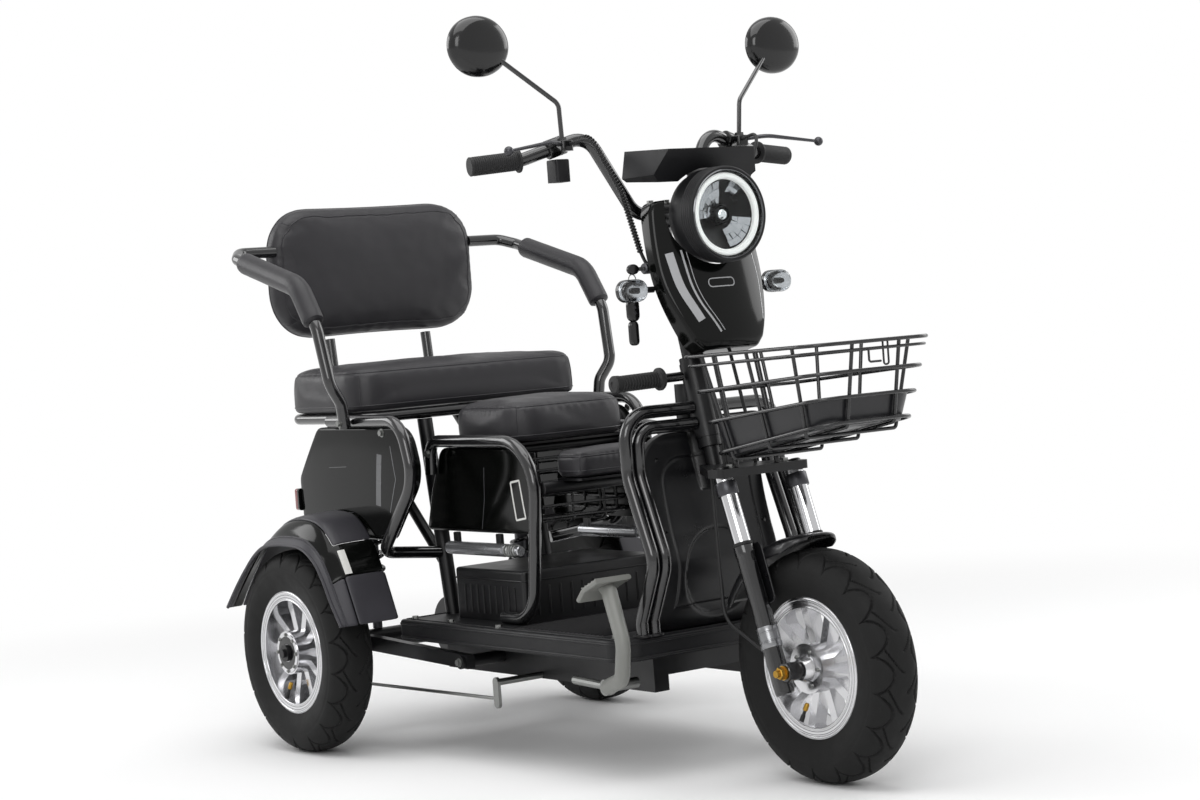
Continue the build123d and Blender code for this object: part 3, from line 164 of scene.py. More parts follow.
@dataclass(frozen=True)
class Finish:
    """A surface: what it is made of, how it was made and what that gives the eye."""

    name: str
    colour: str
    roughness: float
    metallic: float = 0.0
    coat: float = 0.0
    relief: Relief = Relief.GRAIN
    grain_mm: float = 1.2
    depth_mm: float = 0.05
    mottle: float = 0.12
    mottle_mm: float = 60.0
    rough_swing: float = 0.06
    sheen: float = 0.0
    specular: float = 0.5
    transmission: float = 0.0
    ior: float = 1.5
    emission: float = 0.0

    def material(self) -> bpy.types.Material:
        """Build the material, or return the one already built."""
        known = bpy.data.materials.get(self.name)
        if known:
            return known
        made = bpy.data.materials.new(self.name)
        tree = blank_tree(made)
        place = add_node(tree, "ShaderNodeTexCoord")
        grid = add_node(
            tree, "ShaderNodeMapping", {"Scale": (1 / MM,) * 3}, {"Vector": place.outputs["Object"]},
        )
        grain = {"Scale": 1 / self.mottle_mm, "Detail": 6.0, "Roughness": 0.6}
        cloud = add_node(tree, "ShaderNodeTexNoise", grain, {"Vector": grid.outputs["Vector"]})
        base = linear(self.colour)
        tint = add_node(
            tree, "ShaderNodeMix", {"data_type": "RGBA", "blend_type": "MIX"}, {0: cloud.outputs["Fac"]},
        )
        for socket, hand in ((6, -1), (7, 1)):
            shades = (min(1, c * (1 + hand * self.mottle)) for c in base[:3])
            tint.inputs[socket].default_value = (*shades, 1)
        spread = {
            "From Min": 0.3, "From Max": 0.7, "To Min": max(0.0, self.roughness - self.rough_swing),
            "To Max": min(1.0, self.roughness + self.rough_swing),
        }
        swing = add_node(tree, "ShaderNodeMapRange", spread, {"Value": cloud.outputs["Fac"]})
        levels = {
            "Metallic": self.metallic, "Coat Weight": self.coat, "Coat Roughness": 0.04,
            "Sheen Weight": self.sheen, "Specular IOR Level": self.specular,
            "Transmission Weight": self.transmission, "IOR": self.ior,
        }
        feeds = {"Base Color": tint.outputs[2], "Roughness": swing.outputs["Result"]}
        shader = add_node(tree, "ShaderNodeBsdfPrincipled", levels, feeds)
        if self.emission:
            shader.inputs["Emission Color"].default_value = base
            shader.inputs["Emission Strength"].default_value = self.emission
        height = self._relief(tree, grid.outputs["Vector"])
        if height is not None:
            rise = {"Strength": 1.0, "Distance": self.depth_mm * MM}
            bump = add_node(tree, "ShaderNodeBump", rise, {"Height": height})
            tree.links.new(bump.outputs["Normal"], shader.inputs["Normal"])
        add_node(tree, "ShaderNodeOutputMaterial", {}, {"Surface": shader.outputs["BSDF"]})
        return made

    def _relief(self, tree: Tree, where: Socket) -> Socket | None:
        """Add the nodes of the fine relief.

        Args:
            tree: the material's node tree.
            where: position in millimetres.

        Returns:
            A height between 0 and 1, or None for a smooth surface.
        """
        if self.relief is Relief.SMOOTH:
            return None
        scale = 1 / self.grain_mm
        if self.relief is Relief.LEATHER:
            edges = {"feature": "DISTANCE_TO_EDGE", "Scale": scale}
            cells = add_node(tree, "ShaderNodeTexVoronoi", edges, {"Vector": where})
            reach = {"From Min": 0.0, "From Max": 0.25}
            return add_node(
                tree, "ShaderNodeMapRange", reach, {"Value": cells.outputs["Distance"]},
            ).outputs["Result"]
        if self.relief is Relief.BRUSHED:
            where = add_node(
                tree, "ShaderNodeMapping", {"Scale": (1.0, 0.04, 1.0)}, {"Vector": where},
            ).outputs["Vector"]
        grain = {"Scale": scale, "Detail": 3.0, "Roughness": 0.55}
        return add_node(tree, "ShaderNodeTexNoise", grain, {"Vector": where}).outputs["Fac"]


# Steel tube, powder coated and baked: a deep gloss under a faint orange peel about 3 mm across.
POWDER_COAT = Finish("powder_coated_steel_tube", "#0b0b0d", 0.2, coat=0.8, grain_mm=3.0, depth_mm=0.03)
# Steel in a satin powder coat, on parts that are less handled: broad dim lights on near black.
SATIN_COAT = Finish("satin_coated_steel", "#0d0d0f", 0.36, grain_mm=1.6, depth_mm=0.03, specular=0.4)
# Polypropylene moulded in a spark-eroded tool: a dull, finely broken light from a 1.4 mm grain.
GRAINED_PLASTIC = Finish("grained_polypropylene", "#131315", 0.46, grain_mm=1.4, depth_mm=0.09, specular=0.3)
# Moulded ABS painted under clear lacquer: black with a trace of green, and sharp narrow lights.
LACQUERED_ABS = Finish(
    "lacquered_abs_cover", "#060706", 0.12, coat=0.04, grain_mm=8.0, depth_mm=0.008, rough_swing=0.03,
    specular=0.22,
)
# Fabric coated and embossed as leather: a pebble grain about 1.8 mm across that scatters the light.
LEATHERETTE = Finish(
    "coated_fabric_upholstery", "#29282b", 0.42, relief=Relief.LEATHER, grain_mm=1.8, depth_mm=0.05,
    mottle=0.1, sheen=0.03, specular=0.4,
)
# The same coated fabric folded and pressed at the seams: finer grain, a thin lighter line.
SEAM_FABRIC = Finish(
    "folded_upholstery_seam", "#242327", 0.4, relief=Relief.LEATHER, grain_mm=1.2, depth_mm=0.03,
)
# Carbon black rubber, vulcanised: dull and dusty, greyer in patches.
TYRE_RUBBER = Finish(
    "vulcanised_tyre_rubber", "#131313", 0.66, grain_mm=1.5, depth_mm=0.12, mottle=0.25, mottle_mm=30.0,
    specular=0.25,
)
# Moulded grip rubber: softer and darker than the tyre, with hardly any light.
GRIP_RUBBER = Finish("moulded_grip_rubber", "#131314", 0.6, grain_mm=1.0, depth_mm=0.06)
# Nickel and chrome plate on ground tube: a mirror with bright edges.
CHROME = Finish(
    "bright_chrome_plate", "#dcdcde", 0.06, metallic=1.0, relief=Relief.SMOOTH, mottle=0.03, rough_swing=0.03,
)
# Cast aluminium, machined and polished: bright, with slightly cloudy lights.
RIM_ALLOY = Finish(
    "polished_cast_aluminium", "#d4d4d6", 0.2, metallic=1.0, grain_mm=2.5, depth_mm=0.03, mottle=0.06,
    mottle_mm=25.0,
)
# Aluminium levers, tumbled and anodised: a satin dark grey.
SATIN_ALLOY = Finish("satin_aluminium_lever", "#4b4b4e", 0.38, metallic=0.9, grain_mm=1.0, depth_mm=0.02)
# Zinc plated steel: a grey metal that shows drawn lines.
ZINC_PLATE = Finish(
    "zinc_plated_steel", "#8d8e8c", 0.34, metallic=1.0, relief=Relief.BRUSHED, grain_mm=0.8, depth_mm=0.01,
)
# Zinc plate with a yellow passivation: a brassy metal.
YELLOW_ZINC = Finish("yellow_passivated_nut", "#b08a3c", 0.32, metallic=1.0, grain_mm=1.0, depth_mm=0.02)
# Steel wire dipped in plastic: round soft lights on black.
DIPPED_WIRE = Finish("plastic_dipped_wire", "#0f0f11", 0.26, coat=0.3, grain_mm=2.0, depth_mm=0.02)
# Moulded basket liner: black with a leaden sheen.
TRAY_PLASTIC = Finish("moulded_basket_liner", "#161619", 0.34, grain_mm=1.6, depth_mm=0.04)
# Cast iron under grey enamel: a pale flat grey, a little uneven.
GREY_ENAMEL = Finish("grey_enamelled_casting", "#7b7c78", 0.4, grain_mm=1.8, depth_mm=0.05, mottle=0.08)
# Moulded polycarbonate: clear, with small sharp lights.
CLEAR_LENS = Finish(
    "clear_polycarbonate_lens", "#f2f4f4", 0.06, relief=Relief.SMOOTH, mottle=0.0, rough_swing=0.01,
    transmission=1.0, ior=1.58,
)
# Milky acrylic light guide: an even white that seems lit.
MILKY_RING = Finish("milky_light_guide", "#f4f5f3", 0.3, relief=Relief.SMOOTH, mottle=0.01, emission=0.35)
# Plastic metallised in vacuum: cut facets that flash bright and dark.
LAMP_BOWL = Finish(
    "metallised_lamp_bowl", "#b9bcc0", 0.16, metallic=1.0, relief=Relief.SMOOTH, mottle=0.1, mottle_mm=12.0,
)
# Silvered float glass: a plain reflection of the surroundings.
MIRROR_GLASS = Finish(
    "silvered_mirror_glass", "#e4e8ea", 0.015, metallic=1.0, relief=Relief.SMOOTH, mottle=0.0,
    rough_swing=0.005,
)
# Silver grey film under lacquer: a smooth stripe that stands out from the black.
STRIPE_FILM = Finish("silver_film_stripe", "#a7a8aa", 0.3, coat=0.6, relief=Relief.SMOOTH, mottle=0.04)
# White reflecting film: a bright, slightly grainy patch.
REFLECTOR_FILM = Finish("white_reflecting_film", "#dcdcd8", 0.28, grain_mm=1.5, depth_mm=0.03, mottle=0.04)
# Moulded red acrylic: deep red, with lights along its ribs.
RED_LENS = Finish("red_acrylic_lens", "#7a0a0a", 0.1, coat=0.8, grain_mm=4.0, depth_mm=0.1)
# Ribbed rubber sheet: a dull, slightly dusty dark grey.
MAT_RUBBER = Finish("ribbed_floor_rubber", "#1a191b", 0.62, grain_mm=1.6, depth_mm=0.08, mottle=0.2)
# Plastic moulded in a polished tool: plain black with clean lights.
GLOSS_BLACK = Finish(
    "gloss_moulded_black_part", "#0a0a0b", 0.16, coat=0.3, grain_mm=2.0, depth_mm=0.015, specular=0.4,
)
# Smoked chrome on plastic, darker than the trim: a grey mirror. On the rim flanges it also paints the shadow
# lines of turned groove edges.
DARK_CHROME = Finish("smoked_chrome_plate", "#6d6e70", 0.12, metallic=1.0, relief=Relief.SMOOTH, mottle=0.03)
# Matt black moulding inside a lamp: takes the light away, so that the lit ring stands out.
LAMP_BLACK = Finish("matt_black_lamp_insert", "#050506", 0.3, grain_mm=1.0, depth_mm=0.02, specular=0.15)
# Hard-coated polycarbonate with little glare: the dark bowl shows black behind it.
COATED_LENS = Finish(
    "coated_polycarbonate_lens", "#f2f4f4", 0.05, relief=Relief.SMOOTH, mottle=0.0, rough_swing=0.01,
    transmission=1.0, ior=1.2,
)
# Polypropylene moulded in a satin tool: a silky black with broad soft lights.
SATIN_PLASTIC = Finish("silky_moulded_guard", "#131315", 0.3, grain_mm=1.6, depth_mm=0.03, coat=0.15)
# Pressed and plated steel band: a little rougher and darker than the chrome above it.
BAND_STEEL = Finish("pressed_steel_band", "#8f9092", 0.26, metallic=1.0, relief=Relief.SMOOTH, mottle=0.06)
# Steel tube in bright metallic paint: nearly white, with a slightly uneven light.
STRUT_METAL = Finish("bright_painted_strut", "#b9babd", 0.24, metallic=0.85, grain_mm=3.0, depth_mm=0.02)
# Moulded plastic with a fine even grain: a wide soft light over its curves.
SHIELD_PLASTIC = Finish("moulded_leg_shield", "#0e0e10", 0.32, grain_mm=1.2, depth_mm=0.05, specular=0.4)
# Printed film: only a little lighter than the lacquer below it.
SMOKE_FILM = Finish("smoke_grey_film", "#4a4b4e", 0.3, coat=0.6, relief=Relief.SMOOTH, mottle=0.03)
# Polypropylene with a coarse grain: dark grey, and lights broken into specks.
LIP_PLASTIC = Finish("coarse_grained_fender_lip", "#343338", 0.4, grain_mm=1.8, depth_mm=0.1, specular=0.4)


# ---------------------------------------------------------------- mesh tools
def shade(piece: Item, edge: float | None = None, smooth: bool = True) -> Item:
    """Shade a piece, keeping edges sharp past an angle in degrees if one is given."""
    piece.data.polygons.foreach_set("use_smooth", [smooth] * len(piece.data.polygons))
    if edge is not None:
        piece.data.set_sharp_from_angle(angle=math.radians(edge))
    return piece


def as_object(name: str, shape: Shape, finish: Finish) -> Item:
    """Turn a shape into a smooth shaded object with one finish.

    Args:
        name: the piece's name.
        shape: the shape, which is freed. The faces of a closed one are turned outwards.
        finish: the surface of the whole piece.

    Returns:
        The new object, linked to the scene.
    """
    mesh = bpy.data.meshes.new(name)
    if all(len(edge.link_faces) == 2 for edge in shape.edges):
        bmesh.ops.recalc_face_normals(shape, faces=shape.faces)
    shape.to_mesh(mesh)
    shape.free()
    mesh.materials.append(finish.material())
    return shade(linked(name, mesh), SHARP_EDGE)


def mount(piece: Item, body: Body, slot: str, replaces: Sequence[str] = ()) -> Item:
    """Fix a piece to a body and hide the CAD nodes that it stands for.

    Args:
        piece: the finished piece, in place.
        body: the rigid body that carries it.
        slot: material slot in the record; not used.
        replaces: CAD nodes that it stands for.

    Returns:
        The same piece.
    """
    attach(piece, body.value)
    if replaces:
        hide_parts(*replaces)
    LOG.info("piece %s on %s", piece.name, body.value)
    return piece


def fit(body: Body, slot: str, name: str, shape: Shape, finish: Finish, *replaces: str) -> Item:
    """Make a piece of a shape and fix it to a body.

    Args:
        body: the rigid body that carries it.
        slot: material slot in the record.
        name: the piece's name.
        shape: the shape, which is freed.
        finish: the surface of the whole piece.
        replaces: CAD nodes that it stands for.

    Returns:
        The new piece.
    """
    return mount(as_object(name, shape, finish), body, slot, replaces)


on_chassis = partial(fit, Body.CHASSIS)
on_steering = partial(fit, Body.STEERING)


def frozen(piece: Item) -> Item:
    """Replace a piece's mesh by the result of its modifiers and remove them."""
    graph = bpy.context.evaluated_depsgraph_get()
    graph.update()
    solid = bpy.data.meshes.new_from_object(piece.evaluated_get(graph))
    piece.modifiers.clear()
    piece.data = solid
    return piece


def modified(piece: Item, kind: str, **settings: Any) -> Item:
    """Give a piece one modifier with its settings and apply it."""
    step = piece.modifiers.new("step", kind)
    for key, value in settings.items():
        setattr(step, key, value)
    return frozen(piece)


def skin_of(piece: Item) -> BVHTree:
    """Surface of a piece, to cast rays at."""
    mesh = piece.data
    return BVHTree.FromPolygons([v.co for v in mesh.vertices], [p.vertices for p in mesh.polygons])


def ring_skin(shape: Shape, rings: Sequence[Route], closed: bool, caps: bool) -> None:
    """Join rings of equal count with quads.

    Args:
        shape: receives the faces.
        rings: lists of points, one list a ring.
        closed: whether the last ring joins the first.
        caps: whether the end rings are filled.
    """
    rows = [[shape.verts.new(p) for p in ring] for ring in rings]
    for a, b in [*zip(rows, rows[1:]), *([(rows[-1], rows[0])] if closed else [])]:
        for i in range(len(a)):
            j = (i + 1) % len(a)
            shape.faces.new((a[i], a[j], b[j], b[i]))
    if caps and not closed:
        shape.faces.new(rows[0])
        shape.faces.new(list(reversed(rows[-1])))


def grid_skin(rows: Sequence[Route], wanted: Callable[[int, int], bool] | None = None) -> Shape:
    """Open sheet over rows of points.

    Args:
        rows: lists of points, one list a row.
        wanted: tells which fields are filled, by row and place in the row.

    Returns:
        The sheet.
    """
    shape = bmesh.new()
    grid = [[shape.verts.new(p) for p in row] for row in rows]
    for k, (a, b) in enumerate(zip(grid, grid[1:])):
        for i in range(len(a) - 1):
            if wanted is None or wanted(k, i):
                shape.faces.new((a[i], a[i + 1], b[i + 1], b[i]))
    bmesh.ops.delete(shape, geom=[v for v in shape.verts if not v.link_faces], context="VERTS")
    return shape


def lathe(profile: Pairs, centre: Vector, axis: Vector, steps: int, closed: bool = False) -> Shape:
    """Turn a profile about an axis.

    Args:
        profile: pairs of distance along the axis and radius.
        centre: point on the axis that the distances start from.
        axis: the axis of turning.
        steps: how many sides the turning has.
        closed: whether the profile's end joins its start.

    Returns:
        The turned shape.
    """
    along = axis.normalized()
    side = along.orthogonal().normalized()
    other = along.cross(side)
    shape = bmesh.new()
    rows = []
    for step in range(steps):
        turn = 2 * math.pi * step / steps
        out = side * math.cos(turn) + other * math.sin(turn)
        rows.append([shape.verts.new(centre + along * a + out * r) for a, r in profile])
    for k, row in enumerate(rows):
        nxt = rows[(k + 1) % steps]
        for i in range(len(profile) if closed else len(profile) - 1):
            j = (i + 1) % len(profile)
            shape.faces.new((row[i], nxt[i], nxt[j], row[j]))
    bmesh.ops.remove_doubles(shape, verts=shape.verts, dist=1e-6)
    return shape


def lathe_mm(profile: Pairs, centre: Vector, axis: Vector, steps: int, closed: bool = False) -> Shape:
    """Turn a profile of millimetre pairs, as lathe does."""
    return lathe([(a * MM, r * MM) for a, r in profile], centre, axis, steps, closed)


def rod(points: Route, radius: float, sides: int) -> Shape:
    """Straight-sided round rod along points, with flat ends.

    Args:
        points: the rod's route.
        radius: the rod's radius.
        sides: about how many sides its section has.

    Returns:
        The rod's shape.
    """
    curve = bpy.data.curves.new("route", "CURVE")
    curve.dimensions = "3D"
    spline = curve.splines.new("POLY")
    spline.points.add(len(points) - 1)
    for knot, place in zip(spline.points, points):
        knot.co = (*place, 1.0)
    curve.bevel_depth = radius
    curve.bevel_resolution = max(1, sides // 4 - 1)
    curve.use_fill_caps = True
    holder = linked("route", curve)
    graph = bpy.context.evaluated_depsgraph_get()
    mesh = bpy.data.meshes.new_from_object(holder.evaluated_get(graph))
    bpy.data.objects.remove(holder)
    bpy.data.curves.remove(curve)
    shape = bmesh.new()
    shape.from_mesh(mesh)
    bpy.data.meshes.remove(mesh)
    bmesh.ops.remove_doubles(shape, verts=shape.verts, dist=1e-6)
    return shape


def merged(shapes: Iterable[Shape]) -> Shape:
    """Gather several shapes in one and free the rest."""
    whole = bmesh.new()
    for shape in shapes:
        mesh = bpy.data.meshes.new("part")
        shape.to_mesh(mesh)
        shape.free()
        whole.from_mesh(mesh)
        bpy.data.meshes.remove(mesh)
    return whole


def mirrored(build: Callable[[float], Shape]) -> Shape:
    """Build a shape on both sides of the centre plane, 1 for left and -1 for right."""
    return merged(build(side) for side in SIDES)


def rounded_outline(half_u: float, half_v: float, radius: float, steps: int = 8) -> list[Pair]:
    """Corner-rounded rectangle, counter-clockwise, about its centre."""
    places = []
    for k, (su, sv) in enumerate(((1, 1), (-1, 1), (-1, -1), (1, -1))):
        for step in range(steps + 1):
            turn = math.pi / 2 * (k + step / steps)
            u = su * (half_u - radius) + radius * math.cos(turn)
            places.append((u, sv * (half_v - radius) + radius * math.sin(turn)))
    return places


def mm(ahead: float, left: float, high: float) -> Vector:
    """Point given in millimetres: ahead of the rear axle, to the left, and up."""
    return Vector((REAR_X + ahead * MM, left * MM, high * MM))


def rounded_route(points: Route, bends: Sequence[float], steps: int = 8) -> list[Vector]:
    """Straight runs joined by round bends.

    Args:
        points: corners of the route, its two ends included.
        bends: bend radius in metres at each inner corner.
        steps: how many steps a bend has.

    Returns:
        Points along the route.
    """
    route = [points[0].copy()]
    for k in range(1, len(points) - 1):
        here = points[k]
        back = (points[k - 1] - here).normalized()
        away = (points[k + 1] - here).normalized()
        half = back.angle(away) / 2
        radius = bends[k - 1]
        centre = here + (back + away).normalized() * (radius / math.sin(half))
        start = here + back * (radius / math.tan(half)) - centre
        axis = back.cross(away).normalized()
        for step in range(steps + 1):
            turn = Matrix.Rotation(-(math.pi - 2 * half) * step / steps, 3, axis)
            route.append(centre + turn @ start)
    route.append(points[-1].copy())
    return route


def divided(line: Route, pitch: float = 0.004) -> list[Vector]:
    """Line with points added, so that its runs are about one pitch long."""
    route = []
    for a, b in zip(line, line[1:]):
        pieces = max(1, round((b - a).length / pitch))
        route.extend(a.lerp(b, k / pieces) for k in range(pieces))
    return [*route, line[-1]]


def circle(radius: float, sides: int = 20) -> list[Pair]:
    """Round section of a rod."""
    return oval(radius, radius, sides)


def oval(half_u: float, half_v: float, sides: int) -> list[Pair]:
    """Closed oval about its centre."""
    turns = [2 * math.pi * k / sides for k in range(sides)]
    return [(half_u * math.cos(t), half_v * math.sin(t)) for t in turns]


def sweep(
    route: Route, section: Pairs, up: Vector | None = None, swell: Callable[[float], float] | None = None,
    closed: bool = False,
) -> Shape:
    """Carry a flat section along a route without twist.

    Args:
        route: points along the middle of the shape.
        section: outline of the section, its first axis along up.
        up: direction that the section's first axis starts near.
        swell: factor on the section by share of the route's length.
        closed: whether the route's end joins its start.

    Returns:
        The swept shape, with its ends filled unless it is closed.
    """
    count = len(route)
    ways = []
    for k in range(count):
        ahead = route[(k + 1) % count] if closed else route[min(k + 1, count - 1)]
        behind = route[k - 1] if closed else route[max(k - 1, 0)]
        ways.append((ahead - behind).normalized())
    side = (up or ways[0].orthogonal()).copy()
    lengths = [0.0]
    for a, b in zip(route, route[1:]):
        lengths.append(lengths[-1] + (b - a).length)
    rings = []
    for place, way, run in zip(route, ways, lengths):
        side = (side - way * side.dot(way)).normalized()
        other = way.cross(side)
        size = swell(run / lengths[-1]) if swell else 1.0
        rings.append([place + (side * u + other * v) * size for u, v in section])
    shape = bmesh.new()
    ring_skin(shape, rings, closed, True)
    return shape


def tube(points: Route, radius: float, bends: Sequence[float], sides: int = 22) -> Shape:
    """Bent round tube with flat ends; radii in metres."""
    return sweep(rounded_route(points, bends), circle(radius, sides))


def bent_tube(points: Sequence[Point], side: float, radius: float, bends: Sequence[float]) -> Shape:
    """Bent tube from points and bends in millimetres; side is 1 for left and -1 for right."""
    return tube([mm(a, side * y, z) for a, y, z in points], radius, [b * MM for b in bends])


def ring_bead(outline: Pairs, high: float, radius: float, sides: int) -> Shape:
    """Round bead along a closed plan outline in millimetres; its radius is in metres."""
    return sweep([mm(u, v, high) for u, v in outline], circle(radius, sides), UP, closed=True)


def rounded_polygon(corners: Sequence[Point], steps: int = 8) -> list[Pair]:
    """Closed outline with round corners.

    Args:
        corners: two coordinates and a corner radius each, in order round the outline.
        steps: how many steps a corner has.

    Returns:
        Points of the outline, in the same units.
    """
    outline: list[Pair] = []
    count = len(corners)
    for k, (u, v, radius) in enumerate(corners):
        here = Vector((u, v, 0))
        before = Vector((*corners[k - 1][:2], 0))
        after = Vector((*corners[(k + 1) % count][:2], 0))
        bend = rounded_route([before, here, after], [radius], steps)
        outline.extend((p.x, p.y) for p in bend[1:-1])
    return outline


def spaced(outline: Pairs, pitch: float) -> list[Pair]:
    """Closed outline with its points spread evenly."""
    flat = [Vector(p) for p in outline]
    flat.append(flat[0])
    runs = [(b - a).length for a, b in zip(flat, flat[1:])]
    total = sum(runs)
    count = max(12, round(total / pitch))
    spread = []
    k, done = 0, 0.0
    for step in range(count):
        goal = total * step / count
        while done + runs[k] < goal:
            done += runs[k]
            k += 1
        here = flat[k].lerp(flat[k + 1], (goal - done) / max(runs[k], 1e-9))
        spread.append((here.x, here.y))
    return spread


def inset(outline: Pairs, amount: float) -> list[Pair]:
    """Move each point of a closed outline inwards."""
    area = sum(a[0] * b[1] - b[0] * a[1] for a, b in zip(outline, [*outline[1:], outline[0]]))
    hand = 1.0 if area > 0 else -1.0
    moved = []
    for k, (u, v) in enumerate(outline):
        before, after = outline[k - 1], outline[(k + 1) % len(outline)]
        du, dv = after[0] - before[0], after[1] - before[1]
        size = math.hypot(du, dv) or 1.0
        moved.append((u - hand * dv / size * amount, v + hand * du / size * amount))
    return moved


Placer = Callable[[float, float, float], Vector]
Depth = Callable[[float, float], float]


def cover(
    outline: Pairs, place: Placer, depth: Depth, back: float, edge: float, rings: int = 12,
    groove: Callable[[float], float] | None = None, solid: bool = True,
) -> Shape:
    """Cover with walls at its outline, a round edge and a shaped face.

    Args:
        outline: closed outline in the cover's plane.
        place: turns outline coordinates and a depth into a point.
        depth: depth of the face at outline coordinates.
        back: depth of the wall's back edge.
        edge: radius of the round edge.
        rings: rings of faces between the edge and the middle.
        groove: depth taken off by share of the way to the middle.
        solid: whether the back is filled.

    Returns:
        The cover's shape.
    """
    rounds = 5
    rows = [[place(u, v, back) for u, v in outline]]
    for step in range(rounds + 1):
        turn = math.pi / 2 * step / rounds
        ring = inset(outline, edge * (1 - math.cos(turn)))
        rows.append([place(u, v, depth(u, v) - edge * (1 - math.sin(turn))) for u, v in ring])
    rim = inset(outline, edge)
    mid_u = sum(p[0] for p in rim) / len(rim)
    mid_v = sum(p[1] for p in rim) / len(rim)
    for step in range(1, rings):
        share = step / rings
        lower = groove(share) if groove else 0.0
        row = []
        for u, v in rim:
            nu, nv = u + (mid_u - u) * share, v + (mid_v - v) * share
            row.append(place(nu, nv, depth(nu, nv) - lower))
        rows.append(row)
    shape = bmesh.new()
    ring_skin(shape, rows, False, False)
    shape.verts.ensure_lookup_table()
    last = list(shape.verts)[-len(rim) :]
    middle = shape.verts.new(place(mid_u, mid_v, depth(mid_u, mid_v)))
    for k, corner in enumerate(last):
        shape.faces.new((corner, last[(k + 1) % len(last)], middle))
    if solid:
        shape.faces.new(list(shape.verts)[: len(rim)])
    bmesh.ops.recalc_face_normals(shape, faces=shape.faces)
    shape.normal_update()
    if middle.link_faces[0].normal.dot(place(mid_u, mid_v, 1.0) - place(mid_u, mid_v, 0.0)) < 0:
        bmesh.ops.reverse_faces(shape, faces=shape.faces)
    return shape


def film(target: Item, line: Route, width: float, way: Vector) -> Shape:
    """Thin strip of film that lies on a piece.

    Args:
        target: the piece below.
        line: middle line of the strip, over the surface.
        width: width of the strip.
        way: direction in which the strip is laid on.

    Returns:
        The strip's shape.
    """
    skin = skin_of(target)
    way = way.normalized()
    route = divided(line)
    columns = max(2, round(width / 0.003))
    rows = []
    for k, place in enumerate(route):
        along = (route[min(k + 1, len(route) - 1)] - route[max(k - 1, 0)]).normalized()
        across = along.cross(way).normalized()
        row = []
        for column in range(-1, columns + 2):
            share = min(max(column / columns, 0.0), 1.0) - 0.5
            hit, normal, _, _ = skin.ray_cast(place + across * width * share - way * 0.05, way, 0.15)
            if hit is None:
                row = []
                break
            if normal.dot(way) > 0:
                normal = -normal
            row.append(hit + normal * (-0.0001 if column in (-1, columns + 1) else FILM_LIFT))
        if row:
            rows.append(row)
    shape = grid_skin(rows)
    shape.normal_update()
    if sum(face.normal.dot(way) for face in shape.faces) > 0:
        bmesh.ops.reverse_faces(shape, faces=shape.faces)
    return shape


# ---------------------------------------------------------------- repeated small parts
class Pattern:
    """A Geometry Nodes tree that sets one small shape at many places of a mesh."""

    def __init__(self, name: str, sizes: dict[str, float]) -> None:
        """Start the tree.

        Args:
            name: the tree's name.
            sizes: default sizes in metres by input name.
        """
        self.tree = bpy.data.node_groups.new(name, "GeometryNodeTree")
        self.sockets: dict[str, str] = {}
        for way in ("INPUT", "OUTPUT"):
            self.tree.interface.new_socket("Geometry", in_out=way, socket_type="NodeSocketGeometry")
        for label, value in sizes.items():
            self.socket(label, "NodeSocketFloat").default_value = value
        self.socket("Finish", "NodeSocketMaterial")
        self.start = self.tree.nodes.new("NodeGroupInput")

    def socket(self, label: str, kind: str) -> Any:
        """Add a named input and keep its identifier."""
        made = self.tree.interface.new_socket(label, in_out="INPUT", socket_type=kind)
        self.sockets[label] = made.identifier
        return made

    def node(
        self, kind: str, settings: dict[Any, Any] | None = None, links: dict[Any, Any] | None = None,
    ) -> Any:
        """Add a node to the tree, as add_node does."""
        return add_node(self.tree, kind, settings, links)

    def size(self, label: str, times: float = 1.0) -> Socket:
        """Output of a named size, or of that size times a factor."""
        plain = self.start.outputs[label]
        if times == 1.0:
            return plain
        return self.node("ShaderNodeMath", {"operation": "MULTIPLY", 1: times}, {0: plain}).outputs[0]

    def spread(self, points: Socket, shape: Socket, way: Socket) -> "Pattern":
        """Set a shape on points, realize it, give it the finish and end the tree.

        Args:
            points: the places.
            shape: the small shape.
            way: direction of the shape's Z axis at each place.

        Returns:
            This pattern, finished.
        """
        turn = self.node("FunctionNodeAlignRotationToVector", {"axis": "Z"}, {"Vector": way})
        feeds = {"Points": points, "Instance": shape, "Rotation": turn.outputs["Rotation"]}
        grown = self.node("GeometryNodeInstanceOnPoints", {}, feeds)
        real = self.node("GeometryNodeRealizeInstances", {}, {"Geometry": grown.outputs["Instances"]})
        feeds = {"Geometry": real.outputs["Geometry"], "Material": self.start.outputs["Finish"]}
        dressed = self.node("GeometryNodeSetMaterial", {}, feeds)
        self.node("NodeGroupOutput", {}, {"Geometry": dressed.outputs["Geometry"]})
        return self

    def aimed(self, shape: Socket) -> "Pattern":
        """Set a shape on the seeds, along the direction that each of them carries."""
        aim = self.node("GeometryNodeInputNamedAttribute", {"data_type": "FLOAT_VECTOR", "Name": "aim"})
        return self.spread(self.start.outputs["Geometry"], shape, aim.outputs["Attribute"])

    def grow(self, name: str, seeds: bpy.types.Mesh, finish: Finish, **sizes: float) -> Item:
        """Run the tree on a mesh of seed points and keep the plain result.

        Args:
            name: the new piece's name.
            seeds: mesh whose points or edges carry the small shapes.
            finish: surface of the small shapes.
            sizes: sizes in metres, with underscores for the spaces of the input names.

        Returns:
            The finished piece, with a plain mesh.
        """
        piece = linked(name, seeds)
        step = piece.modifiers.new("pattern", "NODES")
        step.node_group = self.tree
        step[self.sockets["Finish"]] = finish.material()
        for label, value in sizes.items():
            step[self.sockets[label.replace("_", " ")]] = value
        frozen(piece)
        piece.data.name = name
        return piece


